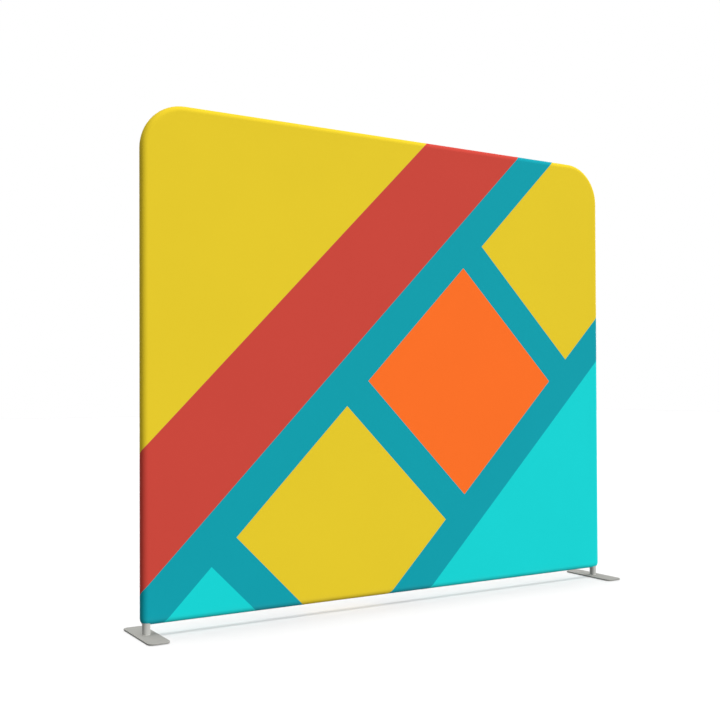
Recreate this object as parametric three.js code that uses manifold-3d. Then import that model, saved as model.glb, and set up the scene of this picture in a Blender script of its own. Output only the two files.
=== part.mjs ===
// A free-standing display backwall: a printed stretch-fabric cover pulled over a plug-together
// aluminium tube frame, standing on two flat steel feet.
//
// Millimetres. +X runs along the wall to the right as seen from the front, +Y from the front to
// the back, +Z up. The origin is on the floor, midway between the feet.

import * as THREE from "three";
import { mergeVertices } from "three/addons/utils/BufferGeometryUtils.js";
import Module from "manifold-3d";

const wasm = await Module();
wasm.setup();

// ---------------------------------------------------------------- driving dimensions

const WALL_WIDTH = 2440; // over the fabric
const WALL_TOP = 2100; // floor to the top edge of the fabric
const GROUND_GAP = 46; // floor to the bottom edge of the fabric
const CORNER_RADIUS = 187; // outside radius of the two top corners

const TUBE_DIAMETER = 48;
const TUBE_WALL = 1.8;
const SPIGOT_WALL = 2.4; // couplers, and the spigots of the corners and tees
const UPRIGHT_JOINT = 1000; // height of the joint between an upright and its top bend
const BEND_LEG = 150; // straight stretch after the bend, to the top rail

const POST_DIAMETER = 32; // centre post
const POST_WALL = 1.5;
const POST_SPIGOT_WALL = 1.8;
const POST_JOINT = 1060; // height of the joint in the centre post
const POST_COLLAR = 8; // collar of the post's coupler, between its two tubes

const FABRIC_THICKNESS = 0.8;
const SEAM_OFFSET = 15; // the side seam lies this far behind the middle of the edge
const ZIP_INSET = 75; // from the side of the wall to the end of the zip
const ZIP_RISE = 22; // zip line above the middle of the bottom rail, on the back

const PLATE_LENGTH = 310;
const PLATE_WIDTH = 90;
const PLATE_THICKNESS = 6;
const PLATE_CORNER = 22;
const STEM_DIAMETER = 32;
const STEM_WALL = 3;
const PAD_THICKNESS = 1.7;

const SEAT = 0.3; // gap between pieces that touch
const PLAY = 0.3; // radial play of a spigot in its tube
const COVER_EASE = 0.3; // between the tube and the fabric

// ---------------------------------------------------------------- secondary dimensions

const QUARTER_FACETS = 5; // facets in a quarter of a round tube
const SMALL_FACETS = 8; // sides of a button, a rivet or a small hole
const BEND_STEPS = 8; // facets of a quarter bend
const OVERRUN = 1; // how far a cutting tool runs past the face that it cuts

const CORNER_ARM = 34; // middle of the bottom corner to the end of the bottom rail
const CORNER_NECK = 50; // middle of the bottom corner to the end of the upright
const TEE_ARM = 36;
const BRANCH_NECK = 46; // middle of a tee to the end of the centre post
const BRANCH_WALL = 3; // the tee's branch stands this proud of the centre post
const BRANCH_TAPER = 6; // length over which the branch narrows to the post
const SPIGOT_LENGTH = 75;
const POST_SPIGOT_LENGTH = 62;
const KNUCKLE_EASE = 0.4; // the corner's round knuckle stays inside the fabric by this

const SOCKET_TOP = 52; // the stem's seat, above the middle of the bottom corner
const LEDGE = 4; // thickness of the ledge that the stem stands against
const LEDGE_BORE = 12;
const STEM_FLOOR = 14; // solid bottom of the stem, which takes the screw
const STEM_CHAMFER = 1.5; // at the top, to find the socket
const STEM_EDGE = 0.5; // at the bottom
const STEM_HOLE_RISE = 36; // the stem's snap button, above the middle of the bottom corner
const FABRIC_EYE_EASE = 2; // between a stem and its hole in the fabric

const BUTTON_HOLE_PLAY = 1.1; // radial, because the button tilts as it is pressed
const BUTTON_PROUD = 3.5; // how far a snap button stands out of its tube
const STEM_BUTTON_PROUD = 4.5; // how far the stem's button reaches into the corner's wall
const BUTTON_DOME = 1.5; // height of a button's round end
const LEAF_THICKNESS = 0.8;
const LEAF_NOSE = 6; // leaf past the middle of the button

const RIVET_RADIUS = 2.5;
const RIVET_HEAD_RADIUS = 4;
const RIVET_HEAD_HEIGHT = 1.2;
const RIVET_INSET = 40; // from the joint to the rivet

const SCREW_RADIUS = 4.3;
const SCREW_HEAD_RADIUS = 9;
const SCREW_LENGTH = 20;
const SCREW_SOCKET = 3.4; // corner radius of the hexagon socket
const SCREW_SOCKET_DEPTH = 3;
const WASHER_THICKNESS = 1;
const PLATE_EDGE = 1; // rounding of the foot plate's edges

const PAD_LENGTH = 34;
const PAD_INSET = 10; // from the end of the plate to the pad
const PAD_MARGIN = 9; // from the side of the plate to the pad

const ZIP_TAPE = 13; // width of one tape
const ZIP_COIL_WIDTH = 2.6;
const ZIP_COIL_RISE = 1.5;
const ZIP_PART = 0.7; // half the gap between the two coils
const TAPE_SETBACK = 0.4; // the tape's edge lies this far behind the coil's
const ZIP_MARGIN = 10; // tape beyond the end of the coil
const SLIDER_LENGTH = 14;
const SLIDER_HEIGHT = 11;
const SLIDER_PLATE = 1.6;
const SLIDER_WEB = 0.4; // half the thickness of the web between the coils
const WEB_LENGTH = 3;
const WEB_INSET = 1; // from the end of the slider to the web
const SLIDER_PARK = 12; // from the end of the coil to the middle of the slider
const PULL_LENGTH = 28;
const PULL_WIDTH = 7;
const PULL_THICKNESS = 1.2;
const PULL_EYE = 1.8; // radius of the pull's hole
const PULL_RIM = 1.6; // metal round that hole
const STUD_CAP = 1; // thickness of the stud's cap, and how far it overhangs the hole
const STOP_LENGTH = 4;

// ---------------------------------------------------------------- derived dimensions

const FACETS = 4 * QUARTER_FACETS;
const TUBE_RADIUS = TUBE_DIAMETER / 2;
const TUBE_BORE = TUBE_RADIUS - TUBE_WALL;
const SPIGOT_RADIUS = TUBE_BORE - PLAY;
const SPIGOT_BORE = SPIGOT_RADIUS - SPIGOT_WALL;
const POST_RADIUS = POST_DIAMETER / 2;
const POST_BORE = POST_RADIUS - POST_WALL;
const POST_SPIGOT_RADIUS = POST_BORE - PLAY;
const POST_SPIGOT_BORE = POST_SPIGOT_RADIUS - POST_SPIGOT_WALL;

const COVER_INSIDE = TUBE_RADIUS + COVER_EASE;
const COVER_OUTSIDE = COVER_INSIDE + FABRIC_THICKNESS;
const HALF_SPAN = WALL_WIDTH / 2 - COVER_OUTSIDE; // middle of the wall to an upright
const TOP_LINE = WALL_TOP - COVER_OUTSIDE; // height of the middle of the top rail
const BOTTOM_LINE = GROUND_GAP + COVER_OUTSIDE; // height of the middle of the bottom rail
const BEND_RADIUS = CORNER_RADIUS - COVER_OUTSIDE;
const ZIP_LINE = BOTTOM_LINE + ZIP_RISE;
const ZIP_LENGTH = WALL_WIDTH - 2 * ZIP_INSET;

const PLATE_BOTTOM = PAD_THICKNESS + SEAT;
const PLATE_TOP = PLATE_BOTTOM + PLATE_THICKNESS;
const STEM_BOTTOM = PLATE_TOP + WASHER_THICKNESS + 2 * SEAT;
const STEM_TOP = BOTTOM_LINE + SOCKET_TOP - SEAT;
const STEM_RADIUS = STEM_DIAMETER / 2;
const STEM_BORE = STEM_RADIUS - STEM_WALL;
const SOCKET_RADIUS = STEM_RADIUS + PLAY;
const SCREW_HOLE = SCREW_RADIUS + PLAY;
const SCREW_HEAD_HEIGHT = SCREW_HEAD_RADIUS - SCREW_RADIUS; // a 90 degree countersink
const COIL_HALF = ZIP_LENGTH / 2 - ZIP_MARGIN;

// The three sizes of snap clip. A clip is a leaf spring along the inside of a bore, with a
// button at its free end. The root of the leaf lies past the joint of the two tubes, the lever
// runs from the root to the middle of the button, and the tip is the top of the button, from
// the axis of the bore.
const FRAME_CLIP = {
  bore: SPIGOT_BORE,
  tip: TUBE_RADIUS + BUTTON_PROUD,
  lever: 32,
  root: 13,
  button: 3.5,
  width: 10,
};
const POST_CLIP = {
  bore: POST_SPIGOT_BORE,
  tip: POST_RADIUS + BUTTON_PROUD,
  lever: 26,
  root: 12,
  button: 3,
  width: 7.5,
};
const STEM_CLIP = {
  bore: STEM_BORE,
  tip: STEM_RADIUS + STEM_BUTTON_PROUD,
  lever: 26,
  root: 0,
  button: 3,
  width: 7.5,
};

// ---------------------------------------------------------------- materials

const finish = (color, roughness, metalness) =>
  new THREE.MeshStandardMaterial({ color, roughness, metalness });
const ANODISED = finish(0xb4b7ba, 0.35, 0.9);
const MOULDED = finish(0x3a3d40, 0.55, 0.0);
const SPRING_STEEL = finish(0x8d9093, 0.3, 0.95);
const POWDER_COAT = finish(0xaaaaa4, 0.5, 0.4);
const RUBBER = finish(0x26282a, 0.9, 0.0);
const NYLON = finish(0xdcdcd6, 0.5, 0.0);
const PRINTED_FABRIC = finish(0x0a9fae, 0.85, 0.0);
const LINING_FABRIC = finish(0xe9e9e5, 0.9, 0.0);
const ZIP_TAPE_FABRIC = finish(0xd9d9d4, 0.85, 0.0);
const ZIP_METAL = finish(0xa2a4a6, 0.35, 0.9);

// ---------------------------------------------------------------- solids

/** A solid for cutting and joining, from a closed three.js geometry. */
function solid(geometry) {
  const bare = geometry.index ? geometry.toNonIndexed() : geometry.clone();
  bare.deleteAttribute("normal");
  bare.deleteAttribute("uv");
  const merged = mergeVertices(bare, 1e-4);
  return new wasm.Manifold(
    new wasm.Mesh({
      numProp: 3,
      vertProperties: merged.attributes.position.array,
      triVerts: new Uint32Array(merged.index.array),
    }),
  );
}

/** The three.js geometry of a solid. */
function geometryOf(body) {
  const { vertProperties, triVerts } = body.getMesh();
  const geometry = new THREE.BufferGeometry();
  geometry.setAttribute("position", new THREE.BufferAttribute(vertProperties, 3));
  geometry.setIndex(new THREE.BufferAttribute(triVerts, 1));
  return geometry;
}

const join = (first, ...others) => others.reduce((a, b) => a.add(b), first);
const cut = (first, ...others) => others.reduce((a, b) => a.subtract(b), first);

/** A named mesh of a solid. */
function piece(name, body, material) {
  const mesh = new THREE.Mesh(geometryOf(body), material);
  mesh.name = name;
  return mesh;
}

/** A round bar along Z from one height to another, tapered if its top radius differs. */
function rodZ(radius, from, to, facets = FACETS, topRadius = radius) {
  const bar = new THREE.CylinderGeometry(topRadius, radius, to - from, facets);
  return solid(bar.rotateX(Math.PI / 2).translate(0, 0, (from + to) / 2));
}

/** The same along X. */
function rodX(radius, from, to, facets = FACETS) {
  const bar = new THREE.CylinderGeometry(radius, radius, to - from, facets);
  return solid(bar.rotateZ(-Math.PI / 2).translate((from + to) / 2, 0, 0));
}

/** A box between two corners. */
function block(low, high) {
  const size = high.map((value, i) => value - low[i]);
  const middle = high.map((value, i) => (value + low[i]) / 2);
  return solid(new THREE.BoxGeometry(...size).translate(...middle));
}

/** A pipe along Z, starting at the origin. */
const pipeZ = (radius, bore, length) =>
  cut(rodZ(radius, 0, length), rodZ(bore, -OVERRUN, length + OVERRUN));

/** A turned body: its profile is a closed line of [radius, height] points. */
function turned(profile, facets = FACETS) {
  const points = [...profile, profile[0]].map(([r, z]) => new THREE.Vector2(r, z));
  return solid(new THREE.LatheGeometry(points, facets).rotateX(Math.PI / 2));
}

/** A hole for a snap button, through one wall of a tube along Z, towards +X. */
const buttonHole = (clip, height) =>
  rodX(clip.button + BUTTON_HOLE_PLAY, 0, TUBE_RADIUS + OVERRUN, SMALL_FACETS)
    .translate([0, 0, height]);

/** A rivet hole in the same wall. */
const rivetHole = (height) =>
  rodX(RIVET_RADIUS + PLAY, 0, TUBE_RADIUS + OVERRUN, SMALL_FACETS).translate([0, 0, height]);

// ---------------------------------------------------------------- tubes of the frame

/** A straight frame tube along Z, with a button hole near each end that plugs in. */
function frameTube(length, plugs) {
  const holeInset = buttonReach(FRAME_CLIP) - SEAT;
  let tube = pipeZ(TUBE_RADIUS, TUBE_BORE, length);
  if (plugs.start) tube = cut(tube, buttonHole(FRAME_CLIP, holeInset));
  if (plugs.end) tube = cut(tube, buttonHole(FRAME_CLIP, length - holeInset));
  if (plugs.rivet) tube = cut(tube, rivetHole(length - RIVET_INSET));
  return tube;
}

/** From a joint to the middle of the button that locks it. */
function buttonReach(clip) {
  return clip.root + clip.lever;
}

/** A solid bar that climbs a leg, turns a quarter bend towards +X and runs out along a leg. */
function bentBar(radius, legUp, legOut, overrun) {
  const stations = [{ x: 0, z: -overrun, turn: 0 }];
  for (let i = 0; i <= BEND_STEPS; i++) {
    const turn = ((Math.PI / 2) * i) / BEND_STEPS;
    stations.push({
      x: BEND_RADIUS * (1 - Math.cos(turn)),
      z: legUp + BEND_RADIUS * Math.sin(turn),
      turn,
    });
  }
  stations.push({ x: BEND_RADIUS + legOut + overrun, z: legUp + BEND_RADIUS, turn: Math.PI / 2 });

  const ring = ({ x, z, turn }) =>
    Array.from({ length: FACETS }, (_, k) => {
      const angle = (2 * Math.PI * k) / FACETS;
      const inward = radius * Math.cos(angle);
      const sideways = radius * Math.sin(angle);
      return [x + inward * Math.cos(turn), sideways, z - inward * Math.sin(turn)];
    });
  return loft(stations.map(ring));
}

/** A closed skin through rings of equally many points, with a flat cap on each end. */
function loft(rings) {
  const count = rings[0].length;
  const faces = [];
  for (let r = 0; r + 1 < rings.length; r++) {
    for (let k = 0; k < count; k++) {
      const next = (k + 1) % count;
      const [a, b] = [r * count + k, r * count + next];
      const [c, d] = [a + count, b + count];
      faces.push(a, b, d, a, d, c);
    }
  }
  const last = (rings.length - 1) * count;
  for (let k = 1; k + 1 < count; k++) {
    faces.push(0, k + 1, k, last, last + k, last + k + 1);
  }
  const geometry = new THREE.BufferGeometry();
  geometry.setAttribute("position", new THREE.Float32BufferAttribute(rings.flat(2), 3));
  geometry.setIndex(faces);
  return solid(geometry);
}

/** The top corner tube: a long leg, the bend and a short leg that carries a riveted coupler. */
function topBend() {
  const legUp = TOP_LINE - BEND_RADIUS - UPRIGHT_JOINT - SEAT;
  const outside = bentBar(TUBE_RADIUS, legUp, BEND_LEG, 0);
  const inside = bentBar(TUBE_BORE, legUp, BEND_LEG, OVERRUN);
  const endHole = rivetHole(0)
    .rotate([0, 90, 0])
    .translate([BEND_RADIUS + BEND_LEG - RIVET_INSET, 0, legUp + BEND_RADIUS]);
  return cut(outside, inside, buttonHole(FRAME_CLIP, buttonReach(FRAME_CLIP) - SEAT), endHole);
}

/** A tube of the centre post, with a button hole near each end. */
function postTube(length) {
  const holeInset = buttonReach(POST_CLIP) - SEAT;
  return cut(
    pipeZ(POST_RADIUS, POST_BORE, length),
    buttonHole(POST_CLIP, holeInset),
    buttonHole(POST_CLIP, length - holeInset),
  );
}

// ---------------------------------------------------------------- connectors

/** A straight coupler along Z about the joint: riveted below it, with a snap clip above. */
function coupler() {
  const half = SPIGOT_LENGTH;
  const sleeve = pipeZ(SPIGOT_RADIUS, SPIGOT_BORE, 2 * half).translate([0, 0, -half]);
  const headSeat = TUBE_RADIUS + SEAT;
  const headTop = headSeat + RIVET_HEAD_HEIGHT;
  const shank = rodX(RIVET_RADIUS, SPIGOT_RADIUS - SPIGOT_WALL / 2, headTop, SMALL_FACETS);
  const head = rodX(RIVET_HEAD_RADIUS, headSeat, headTop, SMALL_FACETS);
  const rivet = join(shank, head).translate([0, 0, -RIVET_INSET]);
  return join(cut(sleeve, buttonHole(FRAME_CLIP, buttonReach(FRAME_CLIP))), rivet);
}

/** The coupler in the centre post, with its own collar standing between the two tubes. */
function postCoupler() {
  const half = POST_COLLAR / 2 + POST_SPIGOT_LENGTH;
  const collar = rodZ(POST_RADIUS, -POST_COLLAR / 2, POST_COLLAR / 2);
  const sleeve = rodZ(POST_SPIGOT_RADIUS, -half, half);
  const bore = rodZ(POST_SPIGOT_BORE, -half - OVERRUN, half + OVERRUN);
  const reach = POST_COLLAR / 2 + buttonReach(POST_CLIP);
  return cut(join(sleeve, collar), bore, buttonHole(POST_CLIP, reach), buttonHole(POST_CLIP, -reach));
}

/** The bottom corner: a round knuckle with a spigot up, a spigot along +X and a socket below. */
function bottomCorner() {
  const ball = new THREE.SphereGeometry(TUBE_RADIUS - KNUCKLE_EASE, FACETS, 2 * QUARTER_FACETS);
  const neckEnd = CORNER_NECK + SPIGOT_LENGTH;
  const armEnd = CORNER_ARM + SPIGOT_LENGTH;
  const body = join(
    solid(ball.rotateX(Math.PI / 2)),
    rodZ(TUBE_RADIUS, 0, CORNER_NECK),
    rodZ(SPIGOT_RADIUS, 0, neckEnd),
    rodX(TUBE_RADIUS, 0, CORNER_ARM),
    rodX(SPIGOT_RADIUS, 0, armEnd),
  );
  const upHole = buttonHole(FRAME_CLIP, CORNER_NECK + buttonReach(FRAME_CLIP));
  const sideHole = buttonHole(FRAME_CLIP, 0)
    .rotate([0, -90, 0])
    .translate([CORNER_ARM + buttonReach(FRAME_CLIP), 0, 0]);
  return cut(
    body,
    rodZ(SOCKET_RADIUS, -TUBE_RADIUS - OVERRUN, SOCKET_TOP),
    rodZ(LEDGE_BORE, 0, neckEnd),
    rodZ(SPIGOT_BORE, SOCKET_TOP + LEDGE, neckEnd + OVERRUN),
    rodX(SPIGOT_BORE, TUBE_RADIUS, armEnd + OVERRUN),
    upHole,
    sideHole,
    buttonHole(STEM_CLIP, STEM_HOLE_RISE),
  );
}

/** A tee along X, with a branch up for the centre post. */
function tee() {
  const armEnd = TEE_ARM + SPIGOT_LENGTH;
  const branchEnd = BRANCH_NECK + POST_SPIGOT_LENGTH;
  const branchRadius = POST_RADIUS + BRANCH_WALL;
  const body = join(
    rodX(SPIGOT_RADIUS, -armEnd, armEnd),
    rodX(TUBE_RADIUS, -TEE_ARM, TEE_ARM),
    rodZ(branchRadius, 0, BRANCH_NECK - BRANCH_TAPER),
    rodZ(branchRadius, BRANCH_NECK - BRANCH_TAPER, BRANCH_NECK, FACETS, POST_RADIUS),
    rodZ(POST_SPIGOT_RADIUS, 0, branchEnd),
  );
  const railHole = buttonHole(FRAME_CLIP, 0).rotate([0, -90, 0]);
  const reach = TEE_ARM + buttonReach(FRAME_CLIP);
  return cut(
    body,
    rodX(SPIGOT_BORE, -armEnd - OVERRUN, armEnd + OVERRUN),
    rodZ(POST_SPIGOT_BORE, 0, branchEnd + OVERRUN),
    railHole.translate([reach, 0, 0]),
    railHole.translate([-reach, 0, 0]),
    buttonHole(POST_CLIP, BRANCH_NECK + buttonReach(POST_CLIP)),
  );
}

/** How far the outside of a clip's leaf lies from the axis of its bore. */
function leafSeat(clip) {
  const flat = clip.bore * Math.cos(Math.PI / FACETS) - SEAT;
  return Math.sqrt(flat ** 2 - (clip.width / 2) ** 2);
}

/** A snap clip: its root is at the origin, its leaf runs along +X and its button points to +Z. */
function snapClip(clip) {
  const leaf = new THREE.Shape();
  const half = clip.width / 2;
  leaf.moveTo(0, -half);
  leaf.lineTo(clip.lever + LEAF_NOSE - half, -half);
  leaf.absarc(clip.lever + LEAF_NOSE - half, 0, half, -Math.PI / 2, Math.PI / 2);
  leaf.lineTo(0, half);
  const strip = new THREE.ExtrudeGeometry(leaf, {
    depth: LEAF_THICKNESS,
    bevelEnabled: false,
    curveSegments: 4,
  }).translate(0, 0, -LEAF_THICKNESS);
  const shoulder = clip.tip - leafSeat(clip) - BUTTON_DOME;
  const domePoint = (angle) => [
    clip.button * Math.cos(angle),
    shoulder + BUTTON_DOME * Math.sin(angle),
  ];
  const button = turned(
    [
      [0, -LEAF_THICKNESS / 2],
      [clip.button, -LEAF_THICKNESS / 2],
      domePoint(0),
      domePoint(Math.PI / 4),
      [0, shoulder + BUTTON_DOME],
    ],
    SMALL_FACETS,
  ).translate([clip.lever, 0, 0]);
  return join(solid(strip), button);
}

/**
 * Seats a snap clip: joint is a point on the tube's axis, along points into the connector's
 * free end and out is the side that the button stands out of. All lie in the plane of the wall.
 */
function seatClip(parent, name, clip, joint, along, out) {
  const mesh = piece(name, snapClip(clip), SPRING_STEEL);
  const basis = new THREE.Matrix4().makeBasis(along, out.clone().cross(along), out);
  mesh.quaternion.setFromRotationMatrix(basis);
  mesh.position.copy(joint).addScaledVector(along, clip.root).addScaledVector(out, leafSeat(clip));
  parent.add(mesh);
}

// ---------------------------------------------------------------- feet

/** An outline with four round corners, centred on the origin. */
function roundedPanel(width, length, radius) {
  const [x, y] = [width / 2 - radius, length / 2 - radius];
  const outline = new THREE.Shape();
  outline.absarc(x, y, radius, 0, Math.PI / 2);
  outline.absarc(-x, y, radius, Math.PI / 2, Math.PI);
  outline.absarc(-x, -y, radius, Math.PI, 1.5 * Math.PI);
  outline.absarc(x, -y, radius, 1.5 * Math.PI, 2 * Math.PI);
  return outline;
}

/** The foot plate, with softened edges and a countersunk hole from below. */
function footPlate() {
  const [width, length] = [PLATE_WIDTH - 2 * PLATE_EDGE, PLATE_LENGTH - 2 * PLATE_EDGE];
  const plate = new THREE.ExtrudeGeometry(roundedPanel(width, length, PLATE_CORNER - PLATE_EDGE), {
    depth: PLATE_THICKNESS - 2 * PLATE_EDGE,
    bevelThickness: PLATE_EDGE,
    bevelSize: PLATE_EDGE,
    bevelSegments: 1,
    curveSegments: 4,
  }).translate(0, 0, PLATE_BOTTOM + PLATE_EDGE);
  const headTop = PLATE_BOTTOM + SCREW_HEAD_HEIGHT;
  return cut(
    solid(plate),
    rodZ(SCREW_HOLE, PLATE_BOTTOM - OVERRUN, PLATE_TOP + OVERRUN),
    rodZ(SCREW_HEAD_RADIUS + PLAY, PLATE_BOTTOM, headTop, FACETS, SCREW_HOLE),
  );
}

/** The countersunk screw that the plate swivels on. */
function footScrew() {
  const bottom = PLATE_BOTTOM + SEAT;
  const headTop = bottom + SCREW_HEAD_HEIGHT;
  const head = rodZ(SCREW_HEAD_RADIUS - SEAT, bottom, headTop, FACETS, SCREW_RADIUS);
  const shank = rodZ(SCREW_RADIUS, bottom, bottom + SCREW_LENGTH);
  const socket = rodZ(SCREW_SOCKET, bottom - OVERRUN, bottom + SCREW_SOCKET_DEPTH, 6);
  return cut(join(head, shank), socket);
}

/** The stem: a turned tube with a solid bottom, a chamfered top and a hole for its button. */
function footStem() {
  const height = STEM_TOP - STEM_BOTTOM;
  const tube = turned([
    [SCREW_HOLE, 0],
    [STEM_RADIUS - STEM_EDGE, 0],
    [STEM_RADIUS, STEM_EDGE],
    [STEM_RADIUS, height - STEM_CHAMFER],
    [STEM_RADIUS - STEM_CHAMFER, height],
    [STEM_BORE, height],
    [STEM_BORE, STEM_FLOOR],
    [SCREW_HOLE, STEM_FLOOR],
  ]).translate([0, 0, STEM_BOTTOM]);
  return cut(tube, buttonHole(STEM_CLIP, BOTTOM_LINE + STEM_HOLE_RISE));
}

/** The nylon washer between the plate and the stem. */
const footWasher = () =>
  cut(
    rodZ(STEM_RADIUS, PLATE_TOP + SEAT, PLATE_TOP + SEAT + WASHER_THICKNESS),
    rodZ(SCREW_HOLE, PLATE_TOP, STEM_BOTTOM),
  );

/** A rubber pad under one end of the plate: +1 for the back, -1 for the front. */
function footPad(end) {
  const outline = roundedPanel(PLATE_WIDTH - 2 * PAD_MARGIN, PAD_LENGTH, PLATE_CORNER - PAD_MARGIN);
  const pad = new THREE.ExtrudeGeometry(outline, {
    depth: PAD_THICKNESS,
    bevelEnabled: false,
    curveSegments: 3,
  });
  return solid(pad.translate(0, end * (PLATE_LENGTH / 2 - PAD_INSET - PAD_LENGTH / 2), 0));
}

/** One foot, standing under the middle of its stem. The right one is turned round later. */
function foot(side) {
  const front = side === "left" ? -1 : 1;
  const group = new THREE.Group();
  group.add(
    piece(`${side}_foot_plate`, footPlate(), POWDER_COAT),
    piece(`${side}_foot_screw`, footScrew(), SPRING_STEEL),
    piece(`${side}_foot_washer`, footWasher(), NYLON),
    piece(`${side}_foot_stem`, footStem(), POWDER_COAT),
    piece(`${side}_foot_pad_front`, footPad(front), RUBBER),
    piece(`${side}_foot_pad_back`, footPad(-front), RUBBER),
  );
  return group;
}

// ---------------------------------------------------------------- fabric cover and zip

/**
 * The line of the frame's middle, with round top corners, as a shape in the plane of the wall.
 * Its two bottom corners are all but sharp.
 */
function frameOutline() {
  const points = [];
  const corner = (x, z, radius, start, steps) => {
    for (let i = 0; i <= steps; i++) {
      const angle = start + ((Math.PI / 2) * i) / steps;
      points.push(new THREE.Vector2(x + radius * Math.cos(angle), z + radius * Math.sin(angle)));
    }
  };
  const [x, z] = [HALF_SPAN - BEND_RADIUS, TOP_LINE - BEND_RADIUS];
  const sharp = 0.5;
  corner(x, z, BEND_RADIUS, 0, BEND_STEPS);
  corner(-x, z, BEND_RADIUS, Math.PI / 2, BEND_STEPS);
  corner(-HALF_SPAN + sharp, BOTTOM_LINE + sharp, sharp, Math.PI, QUARTER_FACETS);
  corner(HALF_SPAN - sharp, BOTTOM_LINE + sharp, sharp, 1.5 * Math.PI, QUARTER_FACETS);
  return new THREE.Shape(points);
}

/** The whole wall as a solid with rounded edges, as far out from the frame's middle as reach. */
function pillow(reach) {
  const flat = 0.1;
  const shape = new THREE.ExtrudeGeometry(frameOutline(), {
    depth: flat,
    bevelThickness: reach,
    bevelSize: reach,
    bevelSegments: QUARTER_FACETS,
  });
  return solid(shape.translate(0, 0, -flat / 2).rotateX(Math.PI / 2));
}

/** The cover: a printed front that wraps the edges and the bottom, and a plain back. */
function cover() {
  const skin = cut(pillow(COVER_OUTSIDE), pillow(COVER_INSIDE));
  const [far, zipHalf] = [WALL_WIDTH, ZIP_LENGTH / 2];
  const slotReach = ZIP_PART + ZIP_TAPE + SEAT;
  const zipSlot = block(
    [-zipHalf - SEAT, SEAM_OFFSET, ZIP_LINE - slotReach],
    [zipHalf + SEAT, far, ZIP_LINE + slotReach],
  );
  const stemHole = rodZ(STEM_RADIUS + FABRIC_EYE_EASE, 0, BOTTOM_LINE);
  const front = cut(
    skin,
    block([-far, SEAM_OFFSET, ZIP_LINE], [far, far, 2 * WALL_TOP]),
    zipSlot,
    stemHole.translate([-HALF_SPAN, 0, 0]),
    stemHole.translate([HALF_SPAN, 0, 0]),
  );
  const back = cut(
    skin.intersect(block([-far, SEAM_OFFSET + SEAT, ZIP_LINE + SEAT], [far, far, 2 * WALL_TOP])),
    zipSlot,
  );
  const group = new THREE.Group();
  group.add(piece("fabric_front", front, PRINTED_FABRIC), piece("fabric_back", back, LINING_FABRIC));
  return group;
}

/** One side of the zip: tape with a bead of coil along its inner edge. The zip line is at z 0. */
function zipSide() {
  const tapeHalf = ZIP_LENGTH / 2;
  const beadRadius = ZIP_COIL_WIDTH / 2;
  const tape = block(
    [-tapeHalf, COVER_INSIDE, ZIP_PART + TAPE_SETBACK],
    [tapeHalf, COVER_OUTSIDE, ZIP_PART + ZIP_TAPE],
  );
  const bead = rodX(beadRadius, -COIL_HALF, COIL_HALF, SMALL_FACETS);
  return join(tape, bead.translate([0, COVER_OUTSIDE, ZIP_PART + beadRadius]));
}

/** The zip's slider: two plates joined by a web that runs between the coils, and a stud. */
function zipSlider() {
  const [long, tall] = [SLIDER_LENGTH / 2, SLIDER_HEIGHT / 2];
  const plateAt = (low) => block([-long, low, -tall], [long, low + SLIDER_PLATE, tall]);
  const outer = COVER_OUTSIDE + ZIP_COIL_RISE + SEAT;
  const inner = COVER_INSIDE - ZIP_COIL_RISE - SLIDER_PLATE;
  const webEnd = -long + WEB_INSET;
  const web = block([webEnd, inner, -SLIDER_WEB], [webEnd + WEB_LENGTH, outer + SLIDER_PLATE, SLIDER_WEB]);
  const capFoot = outer + SLIDER_PLATE + PULL_THICKNESS + 2 * SEAT;
  const capTop = capFoot + STUD_CAP;
  const stud = rodZ(PULL_EYE - 2 * PLAY, outer, capTop, SMALL_FACETS);
  const cap = rodZ(PULL_EYE + STUD_CAP, capFoot, capTop, SMALL_FACETS);
  return join(plateAt(outer), plateAt(inner), web, join(stud, cap).rotate([-90, 0, 0]));
}

/** The zip's pull, hanging from its eye. */
function zipPull() {
  const half = PULL_WIDTH / 2;
  const tab = new THREE.Shape();
  tab.absarc(0, 0, PULL_EYE + PULL_RIM, 0, Math.PI);
  tab.absarc(0, -PULL_LENGTH + half, half, Math.PI, 2 * Math.PI);
  const eye = new THREE.Path();
  eye.absarc(0, 0, PULL_EYE, 0, 2 * Math.PI);
  tab.holes.push(eye);
  const blank = new THREE.ExtrudeGeometry(tab, {
    depth: PULL_THICKNESS,
    bevelEnabled: false,
    curveSegments: 6,
  });
  const level = COVER_OUTSIDE + ZIP_COIL_RISE + SLIDER_PLATE + 2 * SEAT;
  return solid(blank.translate(0, 0, -PULL_THICKNESS).rotateX(Math.PI / 2).translate(0, level, 0));
}

/** An end stop of the zip, clamped on the tapes just past the coil. */
const zipStop = () =>
  block(
    [0, COVER_OUTSIDE + SEAT, -ZIP_PART - ZIP_COIL_WIDTH],
    [STOP_LENGTH, COVER_OUTSIDE + ZIP_COIL_RISE, ZIP_PART + ZIP_COIL_WIDTH],
  );

/** The closed zip, along X about the origin: its slider is parked at the -X end. */
function zip() {
  const group = new THREE.Group();
  const upper = piece("zip_side_upper", zipSide(), ZIP_TAPE_FABRIC);
  const lower = piece("zip_side_lower", zipSide().mirror([0, 0, 1]), ZIP_TAPE_FABRIC);
  const slider = piece("zip_slider", zipSlider(), ZIP_METAL);
  const pull = piece("zip_pull", zipPull(), ZIP_METAL);
  const stopLeft = piece("zip_stop_left", zipStop(), ZIP_METAL);
  const stopRight = piece("zip_stop_right", zipStop(), ZIP_METAL);
  for (const moving of [slider, pull]) moving.position.x = -COIL_HALF + SLIDER_PARK;
  stopLeft.position.x = -COIL_HALF - SEAT - STOP_LENGTH;
  stopRight.position.x = COIL_HALF + SEAT;
  group.add(upper, lower, slider, pull, stopLeft, stopRight);
  group.position.z = ZIP_LINE;
  return group;
}

// ---------------------------------------------------------------- assembly

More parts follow.
